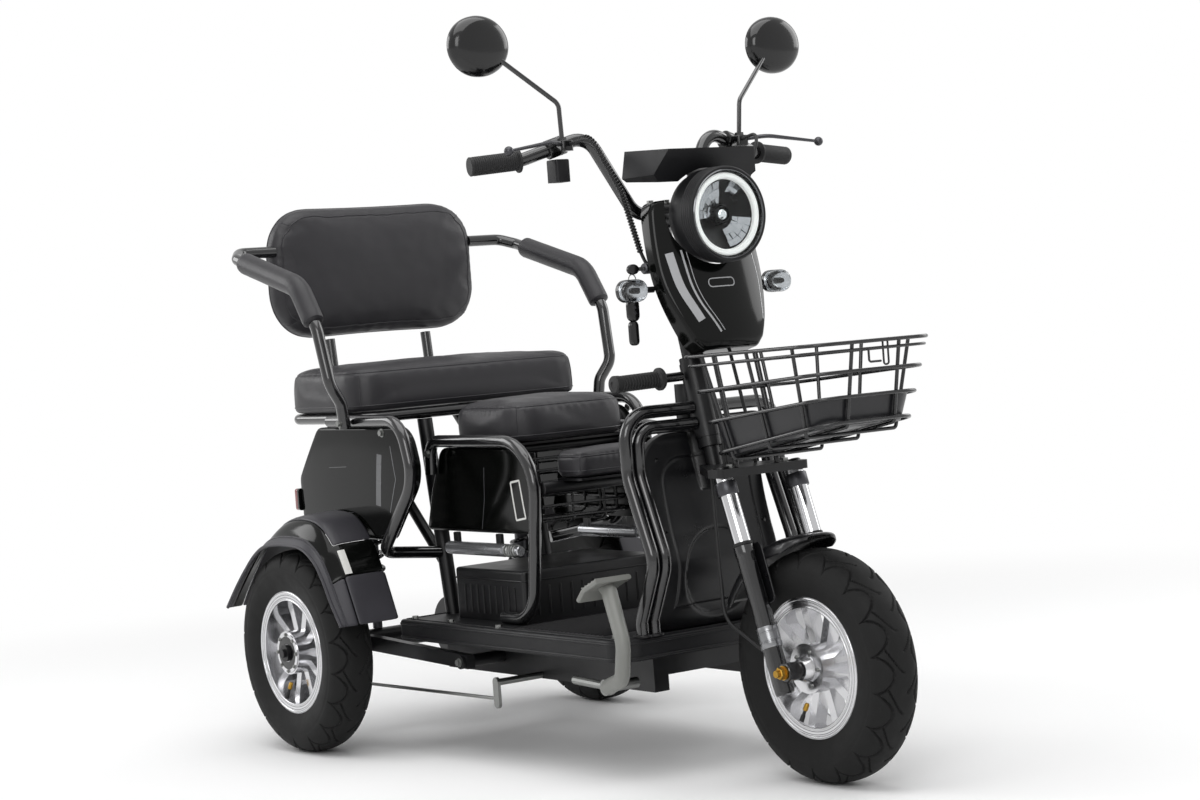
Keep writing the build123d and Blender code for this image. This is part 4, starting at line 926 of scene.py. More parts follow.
def screw_pattern() -> Pattern:
    """Hexagon heads on washers, one at each seed, aimed along the seed's direction."""
    made = Pattern("hexagon_screws", {"Across flats": 0.010, "Head height": 0.005})
    discs = []
    for sides, wide, tall in ((6, 1.0, 1.0), (20, 1.35, 0.3)):
        radius = made.size("Across flats", wide / math.sqrt(3))
        feeds = {"Radius": radius, "Depth": made.size("Head height", tall)}
        discs.append(made.node("GeometryNodeMeshCylinder", {"Vertices": sides}, feeds).outputs["Mesh"])
    place = made.node("ShaderNodeCombineXYZ", {}, {"Z": made.size("Head height", 0.6)})
    head = made.node("GeometryNodeTransform", {}, {"Geometry": discs[0], "Translation": place.outputs[0]})
    whole = made.node("GeometryNodeJoinGeometry")
    for part in (head.outputs["Geometry"], discs[1]):
        made.tree.links.new(part, whole.inputs[0])
    return made.aimed(whole.outputs["Geometry"])


def ring_pattern() -> Pattern:
    """Round rings threaded on a route, as on a spiral cable wrap."""
    made = Pattern("rings_on_a_route", {"Pitch": 0.004, "Ring radius": 0.005, "Wire radius": 0.0012})
    route = made.node("GeometryNodeMeshToCurve", {}, {"Mesh": made.start.outputs["Geometry"]})
    feeds = {"Curve": route.outputs["Curve"], "Length": made.size("Pitch")}
    knots = made.node("GeometryNodeResampleCurve", {"mode": "LENGTH"}, feeds)
    points = made.node("GeometryNodeCurveToPoints", {"mode": "EVALUATED"}, {"Curve": knots.outputs["Curve"]})
    loops = [
        made.node(
            "GeometryNodeCurvePrimitiveCircle", {"Resolution": sides}, {"Radius": made.size(label)},
        ).outputs["Curve"]
        for sides, label in ((16, "Ring radius"), (6, "Wire radius"))
    ]
    ring = made.node("GeometryNodeCurveToMesh", {}, {"Curve": loops[0], "Profile Curve": loops[1]})
    return made.spread(points.outputs["Points"], ring.outputs["Mesh"], points.outputs["Tangent"])


def rib_pattern() -> Pattern:
    """Half-round ribs, each centred on a seed and lying along its direction."""
    made = Pattern("ribs_on_seeds", {"Rib length": 0.1, "Rib width": 0.004, "Rib height": 0.0015})
    bar = made.node("GeometryNodeMeshCylinder", {"Vertices": 10, "Radius": 0.5, "Depth": 1.0})
    sizes = {"X": made.size("Rib width"), "Y": made.size("Rib height"), "Z": made.size("Rib length")}
    size = made.node("ShaderNodeCombineXYZ", {}, sizes)
    feeds = {"Geometry": bar.outputs["Mesh"], "Scale": size.outputs[0]}
    return made.aimed(made.node("GeometryNodeTransform", {}, feeds).outputs["Geometry"])


def seeds(places: Sequence[tuple[Vector, Vector]]) -> bpy.types.Mesh:
    """Mesh of loose points that carry a direction in the attribute named aim."""
    mesh = bpy.data.meshes.new("seeds")
    mesh.from_pydata([tuple(p) for p, _ in places], [], [])
    aim = mesh.attributes.new("aim", "FLOAT_VECTOR", "POINT")
    for item, (_, way) in zip(aim.data, places):
        item.vector = way.normalized()
    return mesh


def route_mesh(points: Route) -> bpy.types.Mesh:
    """Mesh of one chain of edges along points."""
    mesh = bpy.data.meshes.new("route")
    mesh.from_pydata([tuple(p) for p in points], [(i, i + 1) for i in range(len(points) - 1)], [])
    return mesh


# ---------------------------------------------------------------- studio
@dataclass
class Studio:
    """Camera, floor, lamps and world."""

    eye: Point = (3.75925, -2.710, 0.790)
    azimuth: float = 54.18
    elevation: float = 2.13
    roll: float = -4.25
    lens_mm: float = 79.263
    floor_half: float = 30.0
    fade_from: float = 1.7
    fade_to: float = 3.2
    sky: float = 0.42
    mirrored_sky: float = 0.5

    def camera(self) -> None:
        """Place the camera."""
        data = bpy.data.cameras.new("camera")
        data.sensor_width, data.lens = 36, self.lens_mm
        data.clip_start, data.clip_end = 0.05, 200
        made = linked("camera", data)
        a, e, r = (math.radians(v) for v in (self.azimuth, self.elevation, self.roll))
        back = Vector((math.sin(a) * math.cos(e), -math.cos(a) * math.cos(e), math.sin(e)))
        right = Vector((math.cos(a), math.sin(a), 0))
        up = right.cross(-back)
        right, up = right * math.cos(r) + up * math.sin(r), -right * math.sin(r) + up * math.cos(r)
        turn = Matrix((right, up, back)).transposed().to_4x4()
        made.matrix_world = Matrix.Translation(self.eye) @ turn
        bpy.context.scene.camera = made

    def floor(self) -> None:
        """Lay a pale floor that fades to plain white far from the object."""
        half = self.floor_half
        mesh = bpy.data.meshes.new("studio_floor")
        corners = [(-half, -half, 0), (half, -half, 0), (half, half, 0), (-half, half, 0)]
        mesh.from_pydata(corners, [], [(0, 1, 2, 3)])
        paper = bpy.data.materials.new("matt_white_paper")
        tree = blank_tree(paper)
        place = add_node(tree, "ShaderNodeTexCoord")
        reach = add_node(tree, "ShaderNodeVectorMath", {"operation": "LENGTH"}, {0: place.outputs["Object"]})
        spread = {"interpolation_type": "SMOOTHSTEP", "From Min": self.fade_from, "From Max": self.fade_to}
        fade = add_node(tree, "ShaderNodeMapRange", spread, {"Value": reach.outputs["Value"]})
        matt = add_node(tree, "ShaderNodeBsdfDiffuse", {"Color": linear("#fbfbfb")})
        glow = add_node(tree, "ShaderNodeEmission", {"Color": (1, 1, 1, 1), "Strength": 1.0})
        feeds = {0: fade.outputs["Result"], 1: matt.outputs["BSDF"], 2: glow.outputs["Emission"]}
        both = add_node(tree, "ShaderNodeMixShader", {}, feeds)
        add_node(tree, "ShaderNodeOutputMaterial", {}, {"Surface": both.outputs["Shader"]})
        mesh.materials.append(paper)
        linked("studio_floor", mesh)

    def lamps(self) -> None:
        """Hang four soft boxes and set the world."""
        boxes = (
            ("overhead_box", (0.3, -0.4, 3.6), (0.0, 0.0, 0.3), 3.4, 78.0),
            ("front_box", (3.4, -3.2, 2.6), (0.1, 0.0, 0.5), 2.2, 56.0),
            ("rear_box", (-3.2, -2.2, 2.2), (0.0, 0.0, 0.5), 2.0, 40.0),
            ("left_box", (0.6, 3.8, 2.4), (0.0, 0.0, 0.5), 2.4, 44.0),
        )
        for name, place, target, size, power in boxes:
            data = bpy.data.lights.new(name, "AREA")
            data.shape, data.size, data.energy = "SQUARE", size, power
            made = linked(name, data)
            made.location = place
            made.rotation_euler = (Vector(target) - Vector(place)).to_track_quat("-Z", "Y").to_euler()
        world = bpy.data.worlds.new("studio_white")
        bpy.context.scene.world = world
        tree = blank_tree(world)
        rays = add_node(tree, "ShaderNodeLightPath").outputs
        most = {"operation": "MAXIMUM"}
        seen = add_node(
            tree, "ShaderNodeMath", most, {0: rays["Is Camera Ray"], 1: rays["Is Transmission Ray"]},
        )
        part = {"operation": "MULTIPLY", 1: self.mirrored_sky}
        gloss = add_node(tree, "ShaderNodeMath", part, {0: rays["Is Glossy Ray"]})
        shown = add_node(tree, "ShaderNodeMath", most, {0: seen.outputs[0], 1: gloss.outputs[0]})
        reach = {"To Min": self.sky, "To Max": 1.0}
        level = add_node(tree, "ShaderNodeMapRange", reach, {"Value": shown.outputs[0]})
        white = {"Color": (1, 1, 1, 1)}
        light = add_node(tree, "ShaderNodeBackground", white, {"Strength": level.outputs["Result"]})
        add_node(tree, "ShaderNodeOutputWorld", {}, {"Surface": light.outputs["Background"]})

    def build(self) -> None:
        """Set up the whole studio."""
        self.camera()
        self.floor()
        self.lamps()
        bpy.context.scene.view_settings.view_transform = "Standard"


# ---------------------------------------------------------------- carried-over CAD nodes
CAD_FINISHES: tuple[tuple[Finish, tuple[str, ...]], ...] = (
    (
        SATIN_COAT,
        (
            "main_frame", "battery_case", "rear_axle", "drive_motor", "seat_mount", "steering_stem",
            "child_seat_mount", "swing_arm_pivot",
        ),
    ),
    (GRAINED_PLASTIC, ("footboard", "dash_housing")), (POWDER_COAT, ("bench_frame",)),
    (ZINC_PLATE, ("brake_rod",)), (DIPPED_WIRE, ("basket_frame", "seat_basket")),
    (TRAY_PLASTIC, ("basket_tray",)), (GRIP_RUBBER, ("control_cables",)),
    (RIM_ALLOY, ("front_rim", "rear_rim_left", "rear_rim_right")),
)


def dress_frame() -> None:
    """Give each carried-over CAD node its finish."""
    for finish, names in CAD_FINISHES:
        for name in names:
            item = frame["nodes"][name]
            if not item.material_slots:
                item.data.materials.append(finish.material())
            for place in item.material_slots:
                place.material = finish.material()


# ---------------------------------------------------------------- wheels
@dataclass
class Wheel:
    """Tyre and trim of one wheel; its CAD rim is carried over."""

    name: str
    joint: str
    body: Body
    tyre_node: str
    show_side: float
    half_width: float = 0.044
    bead_radius: float = 0.112
    bead_half: float = 0.0335
    belly_radius: float = 0.150
    top_radius: float = 0.1873
    around: int = 840
    groove_width: float = 0.0042
    groove_depth: float = 0.0028
    tread_from: float = 0.158
    scallops: int = 18
    scallop_out: float = 0.0415
    scallop_deep: float = 0.021
    flange: float = 0.0338

    @property
    def centre(self) -> Vector:
        """The wheel's centre."""
        return Vector(JOINTS[self.joint]["pos_m"])

    def section(self) -> list[Pair]:
        """Outline of the tyre's section from bead to bead as lateral place and radius."""
        half = []
        for share in (step / 10 for step in range(10)):
            y = self.bead_half + (self.half_width - self.bead_half) * math.sin(share * math.pi / 2)
            half.append((y, self.bead_radius + (self.belly_radius - self.bead_radius) * share))
        for turn in (math.pi / 2 * step / 30 for step in range(30)):
            rise = (self.top_radius - self.belly_radius) * math.sin(turn) ** 0.9
            half.append((self.half_width * math.cos(turn) ** 0.8, self.belly_radius + rise))
        return half + [(0.0, self.top_radius)] + [(-y, r) for y, r in reversed(half)]

    def sink(self, turn: float, lateral: float, radius: float) -> float:
        """Depth of the tread and sidewall lines at a place of the tyre.

        Args:
            turn: angle about the axle.
            lateral: distance from the middle plane.
            radius: distance from the axle.

        Returns:
            How far the surface lies below the plain section, in metres.
        """
        depth = 0.0
        reach = abs(lateral)
        if radius > self.tread_from:
            pitch = 2 * math.pi * self.top_radius / self.scallops
            along = turn * self.top_radius - (0.0 if lateral > 0 else pitch / 2)
            edge = self.scallop_out - self.scallop_deep * abs(math.sin(math.pi * along / pitch))
            depth = self._dip(reach - edge, self.groove_width)
            lag = 0.030 * (reach / 0.024) ** 1.5
            if 0.004 < reach < edge:
                off = (along - lag + pitch) % pitch - pitch / 2
                depth = max(depth, self._dip(off, self.groove_width))
        if radius < self.tread_from:
            for line in (0.1215, 0.1255, 0.1535):
                depth = max(depth, 0.35 * self._dip(radius - line, 0.0022))
        return depth

    def _dip(self, off: float, width: float) -> float:
        """Depth across a groove at a distance from its middle."""
        share = min(1.0, abs(off) / (width / 2))
        return self.groove_depth * (1 - share**4)

    def tyre(self) -> None:
        """Build the treaded tyre in place of its CAD node."""
        outline = self.section()
        slopes = []
        for i in range(len(outline)):
            before, after = outline[max(0, i - 1)], outline[min(len(outline) - 1, i + 1)]
            dy, dr = after[0] - before[0], after[1] - before[1]
            size = math.hypot(dy, dr) or 1.0
            slopes.append((dr / size, -dy / size))
        rows = []
        for turn in (2 * math.pi * k / self.around for k in range(self.around)):
            row = []
            for (y, r), (ny, nr) in zip(outline, slopes):
                sink = self.sink(turn, y, r)
                out_y = y - abs(ny) * sink * (1 if y > 0 else -1)
                out_r = r - abs(nr) * sink
                row.append(self.centre + Vector((out_r * math.cos(turn), out_y, out_r * math.sin(turn))))
            rows.append(row)
        shape = bmesh.new()
        ring_skin(shape, rows, True, False)
        fit(self.body, "tyre_rubber", f"{self.name}_treaded_tyre", shape, TYRE_RUBBER, self.tyre_node)

    def valve(self) -> None:
        """Add the valve stem with its yellow cap."""
        way = Vector((math.cos(4.4), 0.25 * self.show_side, math.sin(4.4))).normalized()
        foot = self.centre + Vector((0, self.show_side * 0.012, 0)) + way * 0.094
        stem = [(0.0, 0.0), (0.0, 0.004), (-0.010, 0.0036), (-0.012, 0.0026), (-0.020, 0.0026), (-0.020, 0.0)]
        cap = [(-0.0185, 0.0), (-0.0185, 0.0042), (-0.029, 0.0040), (-0.031, 0.0028), (-0.031, 0.0)]
        for part, profile, finish, slot in (
            ("stem", stem, GRIP_RUBBER, "grip_rubber"), ("cap", cap, YELLOW_ZINC, "plated_steel"),
        ):
            fit(self.body, slot, f"{self.name}_valve_{part}", lathe(profile, foot, way, 12), finish)

    def hub(self) -> None:
        """Add the hub's cap and ring, or its noses, and the bolts round it on the outer side."""
        centre = self.centre
        out = Vector((0, self.show_side, 0))
        if self.body is not Body.FRONT_WHEEL:
            cap = [(0.0402, 0.0165), (0.0402, 0.030), (0.0412, 0.031), (0.0424, 0.030), (0.0428, 0.0165)]
            ring = [(0.0402, 0.0305), (0.0402, 0.0365), (0.0418, 0.0365), (0.0422, 0.0305)]
            label = f"{self.name}_hub"
            fit(self.body, "frame_paint", f"{label}_cap", lathe(cap, centre, out, 48, True), GLOSS_BLACK)
            fit(self.body, "wheel_alloy", f"{label}_ring", lathe(ring, centre, out, 60, True), RIM_ALLOY)
            count, radius, face = 8, 0.0335, 0.0424
        else:
            nose = [(0.0405, 0.0118), (0.0405, 0.0235), (0.0425, 0.0230), (0.0550, 0.0165), (0.0560, 0.0118)]
            noses = mirrored(lambda side: lathe(nose, centre, Vector((0, side, 0)), 48, True))
            fit(self.body, "wheel_alloy", "front_hub_noses", noses, RIM_ALLOY)
            count, radius, face = 5, 0.028, 0.0402
        self.rim_beads()
        ring_of_bolts = oval(radius, radius, count)
        places = [(centre + Vector((x, self.show_side * face, z)), out) for x, z in ring_of_bolts]
        sizes = {"Across_flats": 0.005, "Head_height": 0.0022}
        bolts = screw_pattern().grow(f"{self.name}_hub_bolts", seeds(places), ZINC_PLATE, **sizes)
        mount(bolts, self.body, "plated_steel")

    def rim_beads(self) -> None:
        """Add the rolled beads on the rim's flanges, and thin dark rings that paint the shadow line of each
        turned groove.
        """
        for name, finish, rings in (
            ("beads", RIM_ALLOY, ((0.1103, 0.0022, 0.0016), (0.0972, 0.0018, 0.0013))),
            # Thin smoked chrome rings, 0.4 mm proud: painted shadow lines where a turned groove would fall
            # into shade.
            ("painted_shadow_rings", DARK_CHROME, ((0.1060, 0.0006, 0.0004), (0.1012, 0.0006, 0.0004))),
        ):
            shapes = []
            for side in (-1, 1):
                for radius, half, high in rings:
                    turns = [math.pi * k / 6 for k in range(7)]
                    arch = [(self.flange + high * math.sin(t), radius - half * math.cos(t)) for t in turns]
                    shapes.append(lathe(arch, self.centre, Vector((0, side, 0)), 96, True))
            fit(self.body, "wheel_alloy", f"{self.name}_rim_{name}", merged(shapes), finish)

    def build(self) -> None:
        """Build the wheel's pieces."""
        self.tyre()
        self.valve()
        self.hub()


# ---------------------------------------------------------------- seats
class Facing(Enum):
    """Which way a cushion's crowned face looks."""

    UP = "up"
    FORWARD = "forward"


@dataclass
class Cushion:
    """Padded seat or back: swollen cover, piped seam and corner seams."""

    name: str
    facing: Facing
    corner: float = 0.058
    crown: float = 0.007
    pinch: float = 0.004
    round_top: float = 0.020
    seam_drop: float = 0.017
    slack: float = 0.0025
    cap: float = 0.006
    share_kept: float = 0.45
    voxel: float = 0.006
    fill: float = 0.8
    half_u: float = field(init=False)
    half_v: float = field(init=False)
    thick: float = field(init=False)

    def __post_init__(self) -> None:
        """Read the space that the cushion's CAD solid holds."""
        low, high = (Vector(c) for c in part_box(self.name))
        size = high - low
        self.middle = (low + high) / 2
        self.low = low
        if self.facing is Facing.UP:
            self.half_u, self.half_v, self.thick = size.x / 2, size.y / 2, size.z
        else:
            self.half_u, self.half_v, self.thick = size.y / 2, size.z / 2, size.x

    def place(self, u: float, v: float, w: float) -> Vector:
        """Point of the cushion; w runs from its base to its face."""
        if self.facing is Facing.UP:
            return Vector((self.middle.x + u, self.middle.y + v, self.low.z + w))
        return Vector((self.low.x + w, self.middle.y + u, self.middle.z + v))

    def local(self, point: Vector) -> Point:
        """Turn a point into the cushion's own coordinates."""
        if self.facing is Facing.UP:
            return point.x - self.middle.x, point.y - self.middle.y, point.z - self.low.z
        return point.y - self.middle.y, point.z - self.middle.z, point.x - self.low.x

    def outline(self, inward: float) -> list[Pair]:
        """Plan outline whose long sides pull in between the corners."""
        plain = spaced(
            rounded_outline(self.half_u - inward, self.half_v - inward, self.corner - inward / 2), 0.010,
        )
        drawn = []
        for u, v in plain:
            reach_u, reach_v = abs(u) / self.half_u, abs(v) / self.half_v
            if reach_u > reach_v:
                u -= math.copysign(self.pinch * max(0.0, math.cos(math.pi / 2 * reach_v)), u)
            else:
                v -= math.copysign(self.pinch * max(0.0, math.cos(math.pi / 2 * reach_u)), v)
            drawn.append((u, v))
        return drawn

    def core(self) -> Shape:
        """Closed form that the simulation starts from."""
        start = self.slack
        rim = self.outline(start)
        top = self.thick - start
        rows = []
        for step in range(4):
            turn = math.pi / 2 * step / 3
            ring = inset(rim, 0.008 * (1 - math.sin(turn)))
            rows.append([self.place(u, v, 0.0005 + 0.008 * (1 - math.cos(turn))) for u, v in ring])
        for share in (0.3, 0.55):
            swell = 0.0015 * math.sin(math.pi * share)
            ring = inset(rim, -swell)
            rows.append([self.place(u, v, top * share) for u, v in ring])
        for step in range(7):
            turn = math.pi / 2 * step / 6
            ring = inset(rim, self.round_top * (1 - math.cos(turn)))
            high = top - self.crown - self.round_top * (1 - math.sin(turn))
            rows.append([self.place(u, v, high) for u, v in ring])
        face = inset(rim, self.round_top)
        for step in range(1, 9):
            share = step / 9
            high = top - self.crown * (1 - share) ** 2
            rows.append([self.place(u * (1 - share), v * (1 - share), high) for u, v in face])
        shape = bmesh.new()
        ring_skin(shape, rows, False, True)
        return shape

    def plump(self, piece: Item) -> None:
        """Swell the cover by cloth simulation, held at its base, with capped moves."""
        modified(piece, "REMESH", mode="VOXEL", voxel_size=self.voxel)
        before = [v.co.copy() for v in piece.data.vertices]
        held = piece.vertex_groups.new(name="held")
        held.add([k for k, co in enumerate(before) if self.local(co)[2] < 0.010], 1.0, "REPLACE")
        cloth = piece.modifiers.new("cover", "CLOTH")
        rules = cloth.settings
        rules.quality = 5
        rules.mass = 0.3
        rules.tension_stiffness = rules.compression_stiffness = 12.0
        rules.bending_stiffness = 0.4
        rules.vertex_group_mass = "held"
        rules.use_pressure = True
        rules.uniform_pressure_force = 4.0
        rules.effector_weights.gravity = 0.0
        cloth.point_cache.frame_start, cloth.point_cache.frame_end = 1, CLOTH_FRAMES
        for frame_number in range(1, CLOTH_FRAMES + 1):
            bpy.context.scene.frame_set(frame_number)
        frozen(piece)
        for vertex, start in zip(piece.data.vertices, before):
            move = vertex.co - start
            if move.length > self.cap:
                move = move.normalized() * self.cap
            vertex.co = start + move * self.share_kept
        modified(piece, "SMOOTH", factor=0.5, iterations=4)
        bpy.context.scene.frame_set(1)

    def finish_skin(self, piece: Item) -> None:
        """Draw the seams and gathers in the cover and keep it in its space."""
        seam = self.thick - self.seam_drop
        for vertex in piece.data.vertices:
            u, v, w = self.local(vertex.co)
            edge = max(abs(u) / self.half_u, abs(v) / self.half_v)
            inward = Vector((-u, -v, 0)).normalized()
            ridge = math.exp(-(((w - seam) / 0.0022) ** 2)) if edge > 0.8 else 0.0
            turn = math.atan2(v / self.half_v, u / self.half_u)
            gather = 0.0005 * math.sin(46 * turn) * math.exp(-(((w - seam) / 0.010) ** 2))
            corner = min(abs(u) / self.half_u, abs(v) / self.half_v)
            pucker = 0.0009 * max(0.0, corner - 0.6) * math.sin(110 * turn) * math.exp(
                -(((w - seam) / 0.02) ** 2)
            )
            drape = 0.0012 * noise.noise(vertex.co * 14.0) + 0.0006 * noise.noise(vertex.co * 37.0)
            push = (0.0016 * ridge + gather + pucker) if edge > 0.8 else 0.0
            u, v = u + inward.x * push, v + inward.y * push
            w += drape if w > 0.6 * self.thick else 0.0
            u = min(max(u, -self.half_u), self.half_u)
            v = min(max(v, -self.half_v), self.half_v)
            w = min(max(w, 0.0), self.thick)
            vertex.co = self.place(u, v, w)

    def piping(self, piece: Item) -> Shape:
        """Piped seam round the cushion and the upright seams at its corners."""
        skin = skin_of(piece)

        def touch(u: float, v: float, level: float) -> Vector | None:
            """Place on the cover below a point of the outline."""
            way = self.place(0, 0, level) - self.place(u, v, level)
            return skin.ray_cast(self.place(u * 1.3, v * 1.3, level), way.normalized(), 0.4)[0]

        shapes = []
        for level in (self.thick - self.seam_drop, 0.012):
            ring = [
                touch(u, v, level) or self.place(u, v, level)
                for u, v in spaced(self.outline(0.0), 0.006)
            ]
            shapes.append(sweep(ring, circle(0.0013, 8), closed=True))
        for su in SIDES:
            for sv in SIDES:
                u, v = su * (self.half_u - self.corner * 0.3), sv * (self.half_v - self.corner * 0.3)
                run = self.thick - self.seam_drop - 0.014
                line = [touch(u, v, 0.013 + run * step / 11) for step in range(12)]
                shapes.append(sweep([hit for hit in line if hit is not None], circle(0.0009, 8)))
        return merged(shapes)

    def build(self) -> None:
        """Build the cushion and its seams."""
        piece = as_object(f"{self.name}_cover", self.core(), LEATHERETTE)
        self.plump(piece)
        modified(piece, "SUBSURF", levels=1, render_levels=1)
        self.finish_skin(piece)
        shade(piece)
        piece.data.materials.clear()
        piece.data.materials.append(LEATHERETTE.material())
        mount(piece, Body.CHASSIS, "seat_cover", [self.name])
        on_chassis("seat_cover", f"{self.name}_piping", self.piping(piece), SEAM_FABRIC)


@dataclass
class Armrest:
    """Bent tube with a stitched pad on each side of the bench."""

    route: tuple[Point, ...] = (
        (-192, 222, 931), (-192, 298, 931), (-160, 320, 919), (65, 320, 857), (120, 320, 778),
        (141, 314, 675), (134, 290, 640), (132, 284.3, 595),
    )
    bends: tuple[float, ...] = (24, 24, 60, 50, 40, 30)
    pad_route: tuple[Point, ...] = ((-131, 320, 911), (65, 320, 857), (112, 320, 789))
    tube_radius: float = 0.011
    pad_radius: float = 0.0208

    def tubes(self) -> Shape:
        """Both bent tubes."""
        return mirrored(lambda side: bent_tube(self.route, side, self.tube_radius, self.bends))

    def section(self) -> list[Pair]:
        """Pad section: flat-sided above, with the fold of the seam below."""
        points = []
        for turn in (2 * math.pi * step / 32 for step in range(32)):
            radius = self.pad_radius * (1 - 0.045 * abs(math.sin(2 * turn)))
            if abs(turn - math.pi) < 0.2:
                radius -= 0.0015
            points.append((radius * math.cos(turn), radius * math.sin(turn)))
        return points

    def pad_line(self, side: float) -> list[Vector]:
        """Middle line of one pad."""
        return rounded_route([mm(a, side * left, h) for a, left, h in self.pad_route], [0.06], 14)

    def pad(self, side: float) -> Shape:
        """One pad, its ends drawn in round the tube."""
        dense = divided(self.pad_line(side))
        span = sum((b - a).length for a, b in zip(dense, dense[1:]))

        def swell(share: float) -> float:
            """Size of the pad's section by share of its length."""
            drawn = min(1.0, min(share, 1 - share) * span / 0.007)
            crumple = 0.016 * noise.noise(Vector((share * 26, side * 3, 0)))
            return (0.66 + 0.34 * math.sqrt(1 - (1 - drawn) ** 2)) * (1 - abs(crumple))

        return sweep(dense, self.section(), UP, swell)

    def build(self) -> None:
        """Build both tubes and both pads."""
        on_chassis("frame_paint", "armrest_bent_tubes", self.tubes(), POWDER_COAT, "armrest_tubes")
        pads = as_object("armrest_pad_covers", mirrored(self.pad), LEATHERETTE)
        mount(pads, Body.CHASSIS, "seat_cover", ["armrest_pads"])

        def seam(side: float) -> Shape:
            """Folded seam under one pad."""
            drop = Vector((0, side * -0.001, -self.pad_radius * 0.985))
            return sweep([p + drop for p in self.pad_line(side)[1:-1]], circle(0.001, 8))

        on_chassis("seat_cover", "armrest_pad_fold", mirrored(seam), SEAM_FABRIC)
        bolts = seeds([(mm(132, side * 295.4, 604), Vector((0, side, 0))) for side in SIDES])
        mount(screw_pattern().grow("armrest_foot_bolts", bolts, ZINC_PLATE), Body.CHASSIS, "plated_steel")


# ---------------------------------------------------------------- hoops and panels
@dataclass
class Hoops:
    """Bent guard tubes beside the driver's legs, the seat and the bench."""

    tube_radius: float = 0.011
    floor_top: float = 238.3
    butt: float = 22.5

    def neck(self, high: float) -> float:
        """Distance of the steering axis ahead of the rear axle, in millimetres."""
        return STEER_AHEAD - (high - STEER_HIGH) * math.tan(HEAD_LEAN)

    def front(self, side: float) -> Shape:
        """Twin front hoops of one side."""
        shapes = []
        for left, high, bends in ((160, 603, (46, 80, 52, 20)), (136, 577, (30, 80, 52, 20))):
            top = ((self.neck(high), self.butt, high), (816, left, high), (816, left, 500))
            foot = ((872, left, 360), (825, left, 264), (825, left, self.floor_top))
            shapes.append(bent_tube(top + foot, side, self.tube_radius, bends))
        return merged(shapes)

    def side(self, side: float) -> Shape:
        """Rear hoop and seat hoop of one side."""
        upright = 185 + (126 - 185) * (352 - 169.7) / (598.4 - 169.7)
        rear = ((40, 262, 606), (285, 262, 606), (318, 262, 500), (196, 262, 368), (upright + 4, 126.6, 352))
        low = self.floor_top + 11
        middle = ((214, 160, 500), (218, 160, 560), (556, 160, 560), (514, 160, low), (421, 160, low))
        hoops = ((rear, (58, 70, 30)), (middle, (30, 88, 58)))
        return merged(bent_tube(points, side, self.tube_radius, bends) for points, bends in hoops)

    def feet(self, side: float) -> Shape:
        """Welded foot plates of the front hoops."""
        plate = [(0.0, 0.0), (0.0, 0.0165), (0.003, 0.0165), (0.004, 0.0155), (0.004, 0.0)]
        return merged(lathe(plate, mm(825, side * left, self.floor_top), UP, 24) for left in (160, 136))

    def build(self) -> None:
        """Build all hoops."""
        on_chassis("frame_paint", "front_guard_hoops", mirrored(self.front), POWDER_COAT, "front_hoops")
        on_chassis("frame_paint", "side_guard_hoops", mirrored(self.side), POWDER_COAT, "side_hoops")
        on_chassis("frame_paint", "hoop_foot_plates", mirrored(self.feet), SATIN_COAT)


